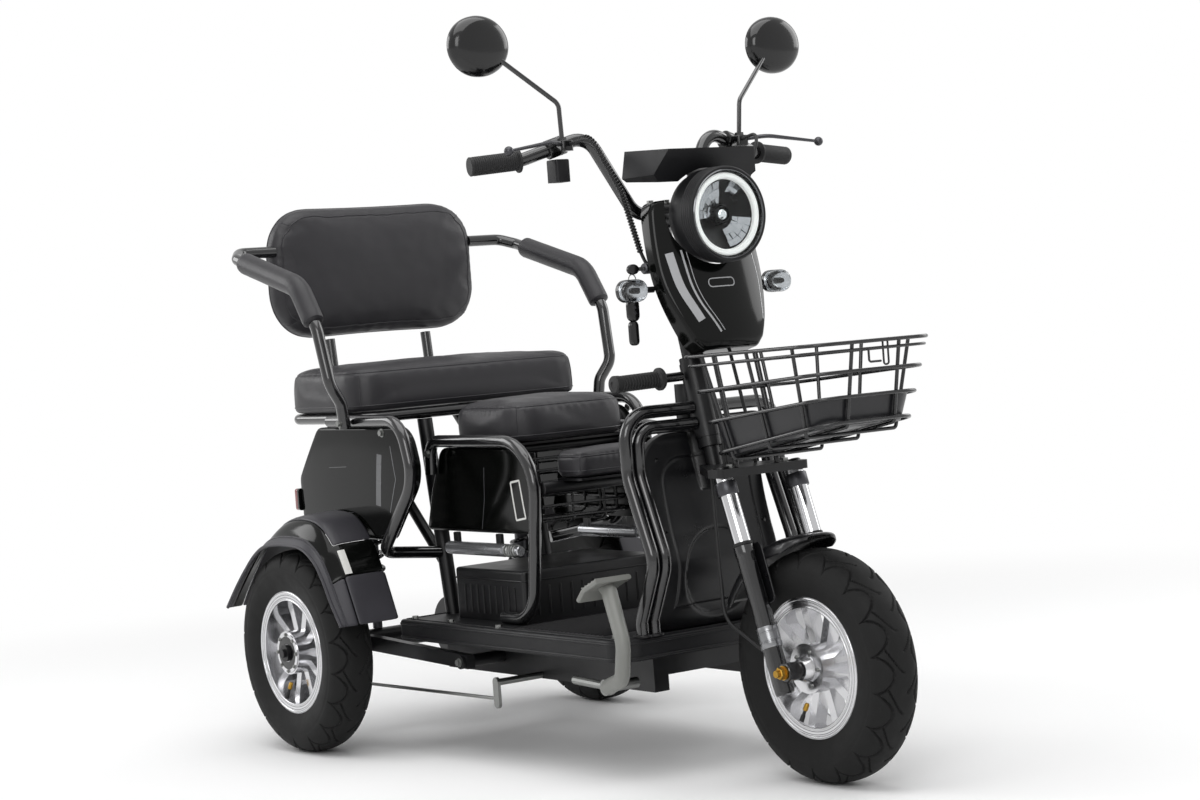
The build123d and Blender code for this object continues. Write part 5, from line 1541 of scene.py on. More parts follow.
@dataclass
class SidePanels:
    """Lacquered covers beside the bench and under the driver's seat, with film stripes."""

    rear_corners: tuple[Point, ...] = (
        (-22, 594, 26), (-104.5, 500, 24), (-104.5, 420, 24), (-76, 394.5, 24), (199, 388.5, 26),
        (304.7, 502.9, 62), (276.3, 594, 50),
    )
    mid_corners: tuple[Point, ...] = (
        (160.5, 395.3, 8), (523.7, 395.3, 16), (542.5, 546.7, 84), (228.2, 546.7, 26), (188.5, 470, 60),
    )

    def panel(
        self, name: str, corners: Sequence[Point], outer: float, thick: float, crown: float, side: float,
    ) -> Item:
        """One crowned panel.

        Args:
            name: the piece's name.
            corners: outline in millimetres, with corner radii.
            outer: distance of its highest point from the centre plane, in millimetres.
            thick: the panel's depth in millimetres.
            crown: how much its middle stands above its edge.
            side: 1 for left, -1 for right.

        Returns:
            The panel.
        """
        outline = spaced(rounded_polygon(corners), 4.0)
        mid_u, mid_v = (sum(p[k] for p in outline) / len(outline) for k in (0, 1))
        reach = max(math.hypot(u - mid_u, v - mid_v) for u, v in outline)

        def depth(u: float, v: float) -> float:
            """Depth of the crowned face."""
            away = math.hypot(u - mid_u, (v - mid_v) * 1.25) / reach
            return outer - crown * min(1.0, away) ** 2.4

        shape = cover(outline, lambda u, v, d: mm(u, side * d, v), depth, outer - thick, 5.0, 16)
        return as_object(name, shape, LACQUERED_ABS)

    def build(self) -> None:
        """Build the four panels and their films."""
        white = (
            ("seat", ((452, 486), (478, 490), (490, 424), (462, 420), (452, 486)), 0.0035),
            ("seat", ((504, 512), (514, 410)), 0.0016),
        )
        grey = (
            ("seat", ((372, 512), (366, 452), (352, 402)), 0.0012), ("rear", ((200, 545), (186, 452)), 0.016),
            ("rear", ((236, 560), (248, 500), (222, 440)), 0.0022), ("rear", ((20, 520), (84, 522)), 0.0010),
            ("rear", ((20, 438), (96, 438)), 0.0010),
        )
        films: dict[Finish, list[Shape]] = {REFLECTOR_FILM: [], SMOKE_FILM: []}
        for side, label in ((1.0, "left"), (-1.0, "right")):
            made = {
                "rear": self.panel(f"rear_cover_{label}", self.rear_corners, 260.0, 28.0, 7.0, side),
                "seat": self.panel(f"seat_cover_{label}", self.mid_corners, 148.7, 12.0, 4.0, side),
            }
            mount(made["rear"], Body.CHASSIS, "gloss_cover", ["rear_side_panels"] if side > 0 else ())
            mount(made["seat"], Body.CHASSIS, "gloss_cover", ["mid_panels"] if side > 0 else ())
            for finish, strips in ((REFLECTOR_FILM, white), (SMOKE_FILM, grey)):
                for panel, points, width in strips:
                    start = 280 if panel == "rear" else 170
                    line = [mm(a, side * start, h) for a, h in points]
                    films[finish].append(film(made[panel], line, width, LEFT * -side))
        on_chassis("gloss_cover", "panel_white_films", merged(films[REFLECTOR_FILM]), REFLECTOR_FILM)
        on_chassis("gloss_cover", "panel_grey_films", merged(films[SMOKE_FILM]), SMOKE_FILM)


@dataclass
class Fenders:
    """Rear wheel guards: grained shelf, lacquered band and flared lip."""

    inner: float = 260.8
    crease: float = 338.0
    band_out: float = 366.0
    lip_out: float = 379.6
    skin: float = 0.0025
    top_line: tuple[Pair, ...] = (
        (-206, 263), (-170, 305), (-118, 356), (-64, 401), (-12, 432), (50, 442.5), (112, 432), (156, 396),
        (184, 352), (208, 300), (230, 249),
    )
    low_line: tuple[Pair, ...] = (
        (-201, 263), (-160, 302), (-118, 337), (-74, 368), (-30, 384), (40, 388), (98, 383), (140, 362),
        (168, 330), (192, 290), (222, 249),
    )
    steps: int = 72

    def line(self, corners: Pairs, share: float) -> Pair:
        """Point of a smooth line through corners by share of its length."""
        run = share * (len(corners) - 1)
        k = min(int(run), len(corners) - 2)
        t = run - k
        p = [Vector(corners[min(max(k + j, 0), len(corners) - 1)]) for j in (-1, 0, 1, 2)]
        a = 2 * p[1]
        b = p[2] - p[0]
        c = 2 * p[0] - 5 * p[1] + 4 * p[2] - p[3]
        d = -p[0] + 3 * p[1] - 3 * p[2] + p[3]
        here = 0.5 * (a + b * t + c * t * t + d * t**3)
        return here.x, here.y

    def section(self, share: float) -> list[Point]:
        """Corners of the guard's section, from its inner edge to the lip, in millimetres."""
        au, av = self.line(self.top_line, share)
        ou, ov = self.line(self.low_line, share)
        places = (
            (0.0, self.inner), (0.015, self.inner + 30), (0.05, self.crease - 10), (0.10, self.crease),
            (0.17, self.crease + 5), (0.40, self.crease + 16), (0.66, self.band_out - 5),
            (0.72, self.band_out), (0.76, self.band_out + 3), (0.90, self.lip_out - 3), (0.97, self.lip_out),
            (1.0, self.lip_out),
        )
        return [(au + (ou - au) * part, out, av + (ov - av) * part) for part, out in places]

    def piece(self, name: str, side: float, finish: Finish, wanted: Callable[[float, int], bool]) -> Item:
        """Part of the guard made of the wanted fields of its grid.

        Args:
            name: the piece's name.
            side: 1 for left, -1 for right.
            finish: its surface.
            wanted: tells which fields it has, by share of the guard's length and place in the section.

        Returns:
            The part, with its wall.
        """
        rows = [
            [mm(a, side * y, z) for a, y, z in self.section(k / self.steps)]
            for k in range(self.steps + 1)
        ]
        shape = grid_skin(rows, lambda k, i: wanted((k + 0.5) / self.steps, i))
        shape.faces.ensure_lookup_table()
        probe = max(shape.faces, key=lambda f: f.calc_center_median().z)
        bmesh.ops.recalc_face_normals(shape, faces=shape.faces)
        if probe.normal.z < 0:
            bmesh.ops.reverse_faces(shape, faces=shape.faces)
        piece = modified(as_object(name, shape, finish), "SOLIDIFY", thickness=self.skin, offset=-1.0)
        return shade(modified(piece, "SUBSURF", levels=1, render_levels=1))

    def bead(self, side: float, corner: int, drop: float, radius: float) -> Shape:
        """Rolled bead along one corner of the section.

        Args:
            side: 1 for left, -1 for right.
            corner: which corner of the section it follows.
            drop: how far it lies inwards of the corner, in millimetres.
            radius: its radius in metres.

        Returns:
            The bead.
        """
        places = [self.section(k / self.steps)[corner] for k in range(self.steps + 1)]
        return sweep([mm(a, side * (y - drop), z) for a, y, z in places], circle(radius, 10), LEFT)

    def build(self) -> None:
        """Build both guards with their reflector strips."""
        front, band_low = 0.715, 0.84
        parts = (
            ("shelf", LIP_PLASTIC, lambda s, i: i < 4 and not front < s < band_low),
            (
                "band", LACQUERED_ABS, lambda s,
                i: (4 <= i < 7 and s < band_low) or (i < 4 and front < s < band_low),
            ),
            ("lip", LIP_PLASTIC, lambda s, i: i >= 7 or (4 <= i < 7 and s > band_low)),
        )
        strips = []
        for side, label in ((1.0, "left"), (-1.0, "right")):
            made = {}
            for name, finish, wanted in parts:
                made[name] = self.piece(f"fender_{name}_{label}", side, finish, wanted)
                stands_for = ["rear_fenders"] if name == "shelf" and side > 0 else ()
                mount(made[name], Body.CHASSIS, "gloss_cover", stands_for)
            beads = merged([self.bead(side, 10, 3.2, 0.0032), self.bead(side, 7, 1.0, 0.0018)])
            on_chassis("gloss_cover", f"fender_rolled_rim_{label}", beads, LIP_PLASTIC)
            place = [Vector(self.section(s)[4]) for s in (front + 0.012, band_low - 0.012)]
            line = [mm(p.x + 20, side * (p.y - 4), p.z + 8) for p in place]
            strips.append(film(made["band"], line, 0.014, Vector((-1.0, side * -0.35, -0.5))))
        on_chassis("gloss_cover", "fender_reflector_strips", merged(strips), REFLECTOR_FILM)


# ---------------------------------------------------------------- front end
@dataclass
class Cowl:
    """Lacquered front cover under the lamp, with film stripes and a bare badge frame."""

    foot: float = 123.4
    head: float = 380.5
    foot_half: float = 66.0
    waist: float = 150.0
    waist_half: float = 107.5
    head_half: float = 98.0
    bulge: float = 128.0
    edge_depth: float = 78.0
    chord: float = 130.0
    sagitta: float = 40.0
    wall: float = 0.0035

    def place(self, u: float, v: float, d: float) -> Vector:
        """Point from lateral place, place along the steering axis and depth, in millimetres."""
        foot = mm(STEER_AHEAD, 0, STEER_HIGH)
        return foot + Vector((0, u * MM, 0)) + HEAD_UP * (v * MM) + HEAD_OUT * (d * MM)

    def depth(self, u: float, v: float) -> float:
        """Depth of the cowl's face."""
        radius = (self.chord**2 + self.sagitta**2) / (2 * self.sagitta)
        chin = max(0.0, 1 - (v - self.foot) / 60.0)
        return self.bulge - (radius - math.sqrt(radius**2 - u * u)) - 9.0 * chin**2

    def outline(self) -> list[Pair]:
        """Front view outline, widest below the lamp."""
        half = []
        for step in range(33):
            share = step / 32
            v = self.foot + (self.head - self.foot) * share
            low = max(0.0, min(1.0, (v - self.foot) / self.waist))
            if v < self.foot + self.waist:
                u = self.foot_half + (self.waist_half - self.foot_half) * math.sin(math.pi / 2 * low)
            else:
                drop = (v - self.foot - self.waist) / (self.head - self.foot - self.waist)
                u = self.waist_half - (self.waist_half - self.head_half) * drop**2
            half.append((u - 0.4, v))
        corner = 16.0
        low = [
            (self.foot_half - corner + corner * math.sin(t), self.foot + corner - corner * math.cos(t))
            for t in (0.2, 0.6, 1.0)
        ]
        top = [
            (self.head_half - 12 + 11.6 * math.cos(t), self.head - 12 + 12 * math.sin(t))
            for t in (0.3, 0.8, 1.3)
        ]
        right = low + [p for p in half[2:] if p[1] < self.head - 12] + top
        left = [(-u, v) for u, v in reversed(right)]
        return spaced(right + left, 4.0)

    def build(self) -> None:
        """Build the cowl and its films."""
        shape = cover(self.outline(), self.place, self.depth, self.edge_depth, 6.0, 18, solid=False)
        shell = as_object("cowl_shell", shape, LACQUERED_ABS)
        modified(shell, "SOLIDIFY", thickness=self.wall, offset=-1.0)
        hole = lathe([(0.76, 0.0), (0.76, 0.0797), (1.0, 0.0797), (1.0, 0.0)], mm(0, 0, 917), FORWARD, 96)
        tool = as_object("cutter", hole, LACQUERED_ABS)
        modified(shell, "BOOLEAN", object=tool, operation="DIFFERENCE", solver="EXACT")
        bpy.data.objects.remove(tool)
        shade(shell, 40)
        mount(shell, Body.STEERING, "gloss_cover", ["cowl"])

        def strip(points: Pairs, width: float) -> Shape:
            """Film along a rounded line on the cowl's face."""
            bends = [0.16] * (len(points) - 2)
            route = rounded_route([self.place(u, v, 150) for u, v in points], bends)
            return film(shell, route, width, -HEAD_OUT)

        thin = [
            strip(((-66, 292), (-60, 215), (-24, 150)), 0.0034),
            strip(((-58, 292), (-52, 215), (-17, 152)), 0.0012),
            strip(((83, 292), (88, 240), (76, 168)), 0.0016),
        ]
        wide = strip(((-86, 290), (-80, 230), (-56, 172)), 0.0135)
        on_steering("gloss_cover", "cowl_wide_stripe", wide, STRIPE_FILM)
        on_steering("gloss_cover", "cowl_thin_stripes", merged(thin), STRIPE_FILM)
        badge = [self.place(u - 4, v + 232, 150) for u, v in rounded_outline(26, 7, 6.5, 5)]
        outline = film(shell, [*badge, badge[0]], 0.0018, -HEAD_OUT)
        on_steering("gloss_cover", "bare_badge_frame", outline, STRIPE_FILM)


@dataclass
class Headlamp:
    """Round lamp: ribbed housing, bezel, light ring, faceted bowl, projector and lens."""

    high: float = 917.0

    def turned(self, name: str, profile: Pairs, finish: Finish, slot: str, closed: bool = True) -> None:
        """Turn a profile of millimetre pairs, distance ahead and radius, about the lamp's axis.

        Args:
            name: the piece's name.
            profile: the pairs.
            finish: its surface.
            slot: material slot in the record.
            closed: whether the profile's end joins its start.
        """
        shape = lathe_mm(profile, mm(0, 0, self.high), FORWARD, 128, closed)
        on_steering(slot, name, shape, finish, *(("headlamp",) if name == "lamp_housing" else ()))

    def facet(self, shape: Shape, corners: Sequence[Point]) -> None:
        """Add a face whose corners are given as angle from upright, radius and place ahead."""
        centre = mm(0, 0, self.high)
        places = [Vector((a * MM, -r * MM * math.sin(t), r * MM * math.cos(t))) for t, r, a in corners]
        shape.faces.new([shape.verts.new(centre + p) for p in places])

    def bowl(self) -> Shape:
        """Dark bowl behind the facets."""
        shape = bmesh.new()
        for k in range(96):
            a, b = (2 * math.pi * (k + j) / 96 for j in (0, 1))
            for inner, outer, low, high in ((16, 30, 898, 903), (30, 56.5, 903, 917)):
                self.facet(shape, ((a, inner, low), (a, outer, high), (b, outer, high), (b, inner, low)))
        bmesh.ops.remove_doubles(shape, verts=shape.verts, dist=1e-6)
        return shape

    def mirrors(self, first: float, last: float, inner: float, outer: float, count: int) -> Shape:
        """Fan of bright facets in the bowl.

        Args:
            first: angle of the fan's start from upright, towards the rider's right, in degrees.
            last: angle of its end.
            inner: inner radius in millimetres.
            outer: outer radius in millimetres.
            count: facets round the fan.

        Returns:
            The fan.
        """
        shape = bmesh.new()
        for k in range(count):
            for row in range(3):
                lean = 1.4 * math.sin(5.1 * k + 2.3 * row)
                corners = []
                for dk, dr, tip in ((0, 0, lean), (0, 1, 0.0), (1, 1, -lean), (1, 0, 0.0)):
                    turn = math.radians(first + (last - first) * (k + dk * 0.97) / count)
                    share = (row + dr * 0.97) / 3
                    corners.append((turn, inner + (outer - inner) * share, 905.5 + 13.0 * share + tip))
                self.facet(shape, corners)
        return shape

    def build(self) -> None:
        """Build the lamp from its housing to its lens."""
        ribs: list[Pair] = []
        for base in (899 + 5.4 * k for k in range(5)):
            ribs += [(base, 77.4), (base + 1.2, 78.8), (base + 3.2, 78.8), (base + 4.4, 77.4)]
        housing = [
            (838.3, 0.0), (838.3, 36), (842, 50), (850, 63), (862, 72), (878, 76.8), (892, 77.4), *ribs,
            (927.5, 78.2), (929, 76.5), (929, 73.6), (924, 73.2), (902, 70), (896, 0.0),
        ]
        bezel = [(925, 73.4), (928.6, 73.3), (929.8, 72.2), (929.6, 71), (925, 70.6)]
        gap = [(921, 73.3), (924.6, 73.2), (924.2, 68), (921, 67.8)]
        ring = [(917, 67.8), (922, 67.6), (924.2, 65.5), (924.4, 60), (922.5, 57.8), (916, 57)]
        hood = [(897, 16.5), (910, 16), (913, 14.4), (912, 12.6), (905, 12)]
        eye = [(904, 12), (909, 11), (913.5, 8), (916, 4), (916.8, 0.0)]
        lens = [(925.0, 0.0), (924.9, 40), (924.8, 70.5), (926.4, 70.5), (927.4, 40), (928.4, 0.0)]
        self.turned("lamp_housing", housing, GRAINED_PLASTIC, "textured_plastic", False)
        self.turned("lamp_bezel", bezel, DARK_CHROME, "textured_plastic")
        self.turned("lamp_gap_ring", gap, LAMP_BLACK, "textured_plastic")
        self.turned("lamp_light_ring", ring, MILKY_RING, "signal_lens")
        on_steering("textured_plastic", "lamp_dark_bowl", self.bowl(), LAMP_BLACK)
        fans = ((8, 98, 17, 56, 5), (186, 262, 24, 54, 5), (318, 344, 36, 56, 2))
        facets = merged(self.mirrors(*fan) for fan in fans)
        shade(on_steering("chrome_plate", "lamp_bright_facets", facets, LAMP_BOWL), smooth=False)
        self.turned("lamp_projector_hood", hood, LAMP_BLACK, "textured_plastic")
        self.turned("lamp_projector_eye", eye, MIRROR_GLASS, "chrome_plate", False)
        self.turned("lamp_front_lens", lens, COATED_LENS, "signal_lens", False)


@dataclass
class Mirrors:
    """Round mirrors on bent stems."""

    centre: Point = (690.0, 311.0, 1218.0)
    half_width: float = 56.8
    half_height: float = 49.8
    stem: tuple[Point, ...] = ((739.5, 187.5, 1063), (742, 191, 1118), (711, 276, 1192), (703, 298, 1207))

    def dome(self, side: float, steps: Pairs) -> Shape:
        """Domed oval of pairs: place ahead in millimetres and share of the full size."""
        ahead, left, high = self.centre
        rows = [
            [
                mm(ahead + a, side * (left + u), high + v)
                for u, v in oval(self.half_width * s, self.half_height * s, 72)
            ]
            for a, s in steps
        ]
        shape = bmesh.new()
        ring_skin(shape, rows, False, True)
        return shape

    def shell(self, side: float) -> Shape:
        """Domed back of one mirror with its rim."""
        steps = (
            (2.5, 0.945), (0.6, 0.955), (0.2, 0.975), (1.0, 0.992), (3.0, 1.0), (9, 1.0), (14, 0.975),
            (18.5, 0.925), (22, 0.85), (25, 0.73), (27.4, 0.56), (29, 0.34), (29.8, 0.1),
        )
        return self.dome(side, steps)

    def glass(self, side: float) -> Shape:
        """Slightly domed glass of one mirror."""
        return self.dome(side, ((2.4, 0.94), (1.6, 0.93), (1.2, 0.6), (1.0, 0.3), (0.95, 0.05)))

    def stems(self, side: float) -> Shape:
        """Bent stem, lock nut and ball joint of one mirror."""
        points = [mm(a, side * y, z) for a, y, z in self.stem]
        stem = sweep(rounded_route(points, [0.018, 0.02]), circle(0.004, 14))
        profile = [(0.0, 0.0), (0.0, 0.0075), (0.008, 0.0075), (0.010, 0.006), (0.014, 0.006), (0.016, 0.0)]
        nut = lathe(profile, points[0], FORWARD.cross(-LEFT), 6)
        profile = [(0.0, 0.0), (0.0, 0.006), (0.010, 0.0085), (0.016, 0.008), (0.018, 0.0)]
        boot = lathe(profile, points[-2].lerp(points[-1], 0.35), points[-1] - points[-2], 20)
        return merged([stem, nut, boot])

    def build(self) -> None:
        """Build both mirrors."""
        on_steering("textured_plastic", "mirror_backs", mirrored(self.shell), GLOSS_BLACK, "mirrors")
        on_steering("chrome_plate", "mirror_glasses", mirrored(self.glass), MIRROR_GLASS)
        on_steering("frame_paint", "mirror_stems", mirrored(self.stems), POWDER_COAT)


@dataclass
class Controls:
    """Handlebar, grips, levers, perches and switches."""

    rise_foot: Point = (741.25, 50.0, 930.0)
    rise_top: Point = (726.0, 128.0, 1066.0)
    grip_in: Point = (704.0, 249.0, 1030.0)
    grip_out: Point = (683.0, 332.0, 1024.0)
    bar_radius: float = 0.011
    perch_reach: float = 44.0
    lever_bend: Point = (768.0, 226.0, 1054.0)
    lever_tip: Point = (786.0, 326.0, 1040.0)

    def on(self, side: float, place: Point) -> Vector:
        """Place of the left half set on either side."""
        return mm(place[0], side * place[1], place[2])

    def seat(self, side: float) -> tuple[Vector, Vector]:
        """Inner end of one perch on the bar, and the bar's direction there."""
        run = (self.on(side, self.grip_in) - self.on(side, self.rise_top)).normalized()
        return self.on(side, self.rise_top) + run * self.perch_reach * MM, run

    def bar(self) -> Shape:
        """Bent handlebar from grip to grip."""
        left = (self.grip_out, self.grip_in, self.rise_top, self.rise_foot)
        points = [self.on(-1, p) for p in left] + [self.on(1, p) for p in reversed(left)]
        return tube(points, self.bar_radius, [b * MM for b in (60, 38, 38, 38, 38, 60)], 26)

    def grip(self, side: float) -> Shape:
        """Ribbed grip with its flange and end cap."""
        start, end = self.on(side, self.grip_in), self.on(side, self.grip_out)
        length = (end - start).length / MM
        profile = [(2.2, 11.4), (2.2, 19.6), (3.4, 20.0), (5.6, 19.8), (6.6, 16.6)]
        at = 8.0
        while at < length - 5:
            profile += [(at, 15.0), (at + 0.7, 15.9), (at + 2.1, 15.9), (at + 2.8, 15.0)]
            at += 3.6
        profile += [(length - 1, 15.6), (length + 2.4, 15.9), (length + 3.6, 14.6), (length + 3.9, 0.0)]
        return lathe_mm(profile, start, end - start, 36)

    def lever(self, side: float) -> Shape:
        """Flat tapered lever blade with its ball."""
        perch, run = self.seat(side)
        knuckle = perch + run * 0.017 + FORWARD * 0.014
        bend, tip = self.on(side, self.lever_bend), self.on(side, self.lever_tip)
        route = rounded_route([knuckle + Vector((0.006, 0, 0.002)), bend, tip], [0.05], 12)
        blade = sweep(route, oval(0.0036, 0.0062, 16), UP, lambda share: 1.12 - 0.42 * share)
        ball = bmesh.new()
        place = Matrix.Translation(tip)
        bmesh.ops.create_uvsphere(ball, u_segments=24, v_segments=14, radius=0.0079, matrix=place)
        return merged([blade, ball])

    def perch(self, side: float) -> Shape:
        """Clamp on the bar with the lever's knuckle and pivot screw."""
        start, run = self.seat(side)
        profile = [
            (0.0, 0.0112), (0.0, 0.0148), (0.0016, 0.0160), (0.010, 0.0160), (0.0105, 0.0150),
            (0.0125, 0.0150), (0.013, 0.0160), (0.0325, 0.0160), (0.034, 0.0148), (0.034, 0.0112),
        ]
        clamp = lathe(profile, start, run, 40)
        middle = start + run * 0.017 + FORWARD * 0.022

        def place(u: float, v: float, d: float) -> Vector:
            """Point of the knuckle's block."""
            return middle + Vector((u * MM, v * MM, (d - 9) * MM))

        block = cover(rounded_outline(16.8, 11.8, 5.5, 5), place, lambda u, v: 17.8, 0.2, 2.0, 3)
        screw = [(0.0, 0.0), (0.0, 0.0052), (0.0016, 0.0048), (0.0016, 0.0)]
        pivot = lathe(screw, middle + Vector((0.006, side * 0.003, 0.0084)), UP, 20)
        return merged([clamp, block, pivot])

    def switch(self, side: float) -> Shape:
        """Switch box under the perch with a rounded edge."""
        low, high = (Vector(c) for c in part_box("switch_boxes"))
        start, run = self.seat(side)
        middle = start + run * 0.017 + Vector((0.002, side * -0.002, 0))
        deep = (high.z - low.z) / MM - 0.2

        def place(u: float, v: float, d: float) -> Vector:
            """Point of the box."""
            return Vector((middle.x + u * MM, middle.y + v * MM, low.z + d * MM))

        return cover(rounded_outline(15.9, 13.9, 5, 5), place, lambda u, v: deep, 0.2, 2.5, 3)

    def stem_clamp(self) -> Shape:
        """Two-bolt clamp that holds the bar on the stem."""
        half = [(0.0024, 0.0158), (0.003, 0.017), (0.0245, 0.017), (0.026, 0.0158), (0.026, 0.0112)]
        profile = [(-along, radius) for along, radius in reversed(half)] + half
        return lathe(profile, mm(BAR_AHEAD, 0, BAR_HIGH), LEFT, 40)

    def build(self) -> None:
        """Build everything on the handlebar."""
        for slot, name, shape, finish, *replaces in (
            ("frame_paint", "handlebar_tube", self.bar(), POWDER_COAT, "handlebar"),
            ("grip_rubber", "ribbed_grips", mirrored(self.grip), GRIP_RUBBER, "grips"),
            ("lever_alloy", "lever_blades", mirrored(self.lever), SATIN_ALLOY, "brake_levers"),
            ("lever_alloy", "lever_perches", mirrored(self.perch), GLOSS_BLACK),
            ("textured_plastic", "switch_housings", mirrored(self.switch), GRAINED_PLASTIC, "switch_boxes"),
            ("frame_paint", "handlebar_clamp", self.stem_clamp(), SATIN_COAT),
        ):
            on_steering(slot, name, shape, finish, *replaces)


@dataclass
class Signals:
    """Turn signals: clear lozenge over a bright bowl and a bulb."""

    centre: Point = (853.0, 152.0, 803.0)

    def shell(self, side: float, inward: float, hand: int, face: Point, back: float, edge: float) -> Shape:
        """Domed lozenge of one side.

        Args:
            side: 1 for left, -1 for right.
            inward: how far it lies inside the signal's outline, in millimetres.
            hand: 1 for a dome that looks ahead, -1 for one that looks back.
            face: the dome's depth in its middle, and its growth across and up.
            back: depth of its back edge.
            edge: radius of its edge.

        Returns:
            The shell.
        """
        a, y, z = self.centre
        outline = spaced(inset(rounded_outline(28.6, 18.6, 18.0, 8), inward), 3.0)
        middle, across, upward = face

        def place(u: float, v: float, d: float) -> Vector:
            """Point of the lozenge."""
            return mm(a + hand * d, side * (y + u), z + v)

        return cover(outline, place, lambda u, v: middle + across * u * u + upward * v * v, back, edge, 8)

    def stub(self, side: float, profile: Pairs, ahead: float, inner: float) -> Shape:
        """Round part of one signal, turned about a line across the vehicle."""
        a, y, z = self.centre
        return lathe(profile, mm(a + ahead, side * (y - inner), z), LEFT * side, 20)

    def case(self, side: float) -> Shape:
        """Back of one signal with its stalk."""
        stalk = self.stub(side, [(0.0, 0.0), (0.0, 0.0052), (0.024, 0.0052), (0.024, 0.0)], -6, 48)
        return merged([self.shell(side, 0.0, -1, (13.2, -0.004, -0.004), -2.0, 6.0), stalk])

    def bowl(self, side: float) -> Shape:
        """Bright bowl of one signal."""
        return self.shell(side, 3.5, 1, (3.4, 0.003, 0.010), 2.3, 1.0)

    def bulb(self, side: float) -> Shape:
        """Bulb of one signal."""
        return self.stub(
            side, [(0.0, 0.0), (0.0, 0.0045), (0.012, 0.0045), (0.017, 0.003), (0.0185, 0.0)], 5.5, 8,
        )

    def lens(self, side: float) -> Shape:
        """Clear lens of one signal."""
        return self.shell(side, 0.6, 1, (13.4, -0.004, -0.004), 2.2, 6.5)

    def build(self) -> None:
        """Build both signals."""
        on_steering("textured_plastic", "signal_cases", mirrored(self.case), GLOSS_BLACK, "turn_signals")
        on_steering("chrome_plate", "signal_bowls", mirrored(self.bowl), LAMP_BOWL)
        on_steering("textured_plastic", "signal_bulbs", mirrored(self.bulb), LAMP_BLACK)
        on_steering("signal_lens", "signal_lenses", mirrored(self.lens), CLEAR_LENS)


@dataclass
class Fork:
    """Telescopic fork legs, crown clamps, clips and axle nuts."""

    spread: float = 74.0
    foot_ahead: float = 1062.5
    nut_face: float = 87.3

    def both(
        self, name: str, finish: Finish, slot: str, closed: bool, profile: Pairs, *replaces: str,
    ) -> None:
        """Turn a profile about both legs and mount it.

        Args:
            name: the piece's name.
            finish: its surface.
            slot: material slot in the record.
            closed: whether the profile's end joins its start.
            profile: millimetre pairs of distance along the leg and radius.
            replaces: CAD nodes that it stands for.
        """

        def leg(side: float) -> Shape:
            """The profile turned about one leg."""
            foot = mm(self.foot_ahead, side * self.spread, AXLE_HIGH)
            return lathe_mm(profile, foot, FORK_UP, 40, closed)

        on_steering(slot, name, mirrored(leg), finish, *replaces)

    def boss(self, side: float) -> Shape:
        """Axle boss at the foot of a leg."""
        half = [(0.0116, 0.0149), (0.0128, 0.0138), (0.0128, 0.0)]
        profile = [(-along, radius) for along, radius in reversed(half)] + half
        return lathe(profile, mm(AXLE_AHEAD, side * self.spread, AXLE_HIGH), LEFT, 36)

    def nut(self, side: float) -> Shape:
        """Washer and hexagon nut at one end of the axle."""
        place, out = mm(AXLE_AHEAD, side * self.nut_face, AXLE_HIGH), LEFT * side
        washer = lathe([(0.0, 0.0), (0.0, 0.0115), (0.0018, 0.0115), (0.0018, 0.0)], place, out, 24)
        profile = [(0.0018, 0.0), (0.0018, 0.0098), (0.010, 0.0098), (0.0112, 0.0085), (0.0112, 0.0)]
        return merged([washer, lathe(profile, place, out, 6)])

    def spacer(self, side: float) -> Shape:
        """Sleeve between the hub and one leg."""
        profile = [(0.0405, 0.006), (0.0405, 0.0115), (0.0600, 0.0115), (0.0605, 0.006)]
        return lathe(profile, mm(AXLE_AHEAD, 0, AXLE_HIGH), LEFT * side, 28, True)

    def build(self) -> None:
        """Build both legs and the axle."""
        lower = [
            (-40, 0.0), (-40, 13), (-38, 15.2), (-34, 15.9), (188, 15.9), (190, 16.6), (196, 16.9),
            (206, 16.9), (207.5, 15.6), (207.5, 0.0),
        ]
        seal = [(207.2, 14.9), (207.2, 16.4), (209, 16.8), (211.5, 16.6), (212.5, 15.0)]
        stanchion = [(206, 0.0), (206, 14.9), (330, 14.9), (330, 0.0)]
        cap = [(329, 0.0), (329, 15.0), (336.5, 15.0), (337.8, 13.8), (337.8, 0.0)]
        collar = [(292, 15.05), (292, 17.4), (293, 18.0), (313, 18.0), (314, 17.4), (314, 15.05)]
        band = [
            (37, 15.95), (37, 17.2), (38, 17.9), (46, 17.9), (46.6, 17.2), (48.2, 17.2), (48.8, 17.9),
            (61, 17.9), (61.6, 17.2), (63.2, 17.2), (63.8, 17.9), (70.5, 17.9), (71.5, 17.2), (71.5, 15.95),
        ]
        self.both("fork_lower_legs", POWDER_COAT, "frame_paint", False, lower, "fork_legs")
        self.both("fork_dust_seals", GRIP_RUBBER, "grip_rubber", True, seal)
        self.both("fork_stanchions", CHROME, "chrome_plate", False, stanchion)
        self.both("fork_top_caps", SATIN_COAT, "frame_paint", False, cap)
        self.both("fork_clamp_collars", SATIN_ALLOY, "chrome_plate", True, collar)
        self.both("fork_clip_bands", BAND_STEEL, "chrome_plate", True, band)
        on_steering("frame_paint", "fork_axle_bosses", mirrored(self.boss), POWDER_COAT)
        on_steering("plated_steel", "front_axle_nuts", mirrored(self.nut), YELLOW_ZINC, "front_axle")
        profile = [(-0.1038, 0.0), (-0.1038, 0.0058), (0.1038, 0.0058), (0.1038, 0.0)]
        spindle = lathe(profile, mm(AXLE_AHEAD, 0, AXLE_HIGH), LEFT, 20)
        on_steering("plated_steel", "front_axle_spindle", spindle, YELLOW_ZINC)
        on_steering("frame_paint", "front_axle_spacers", mirrored(self.spacer), GLOSS_BLACK)


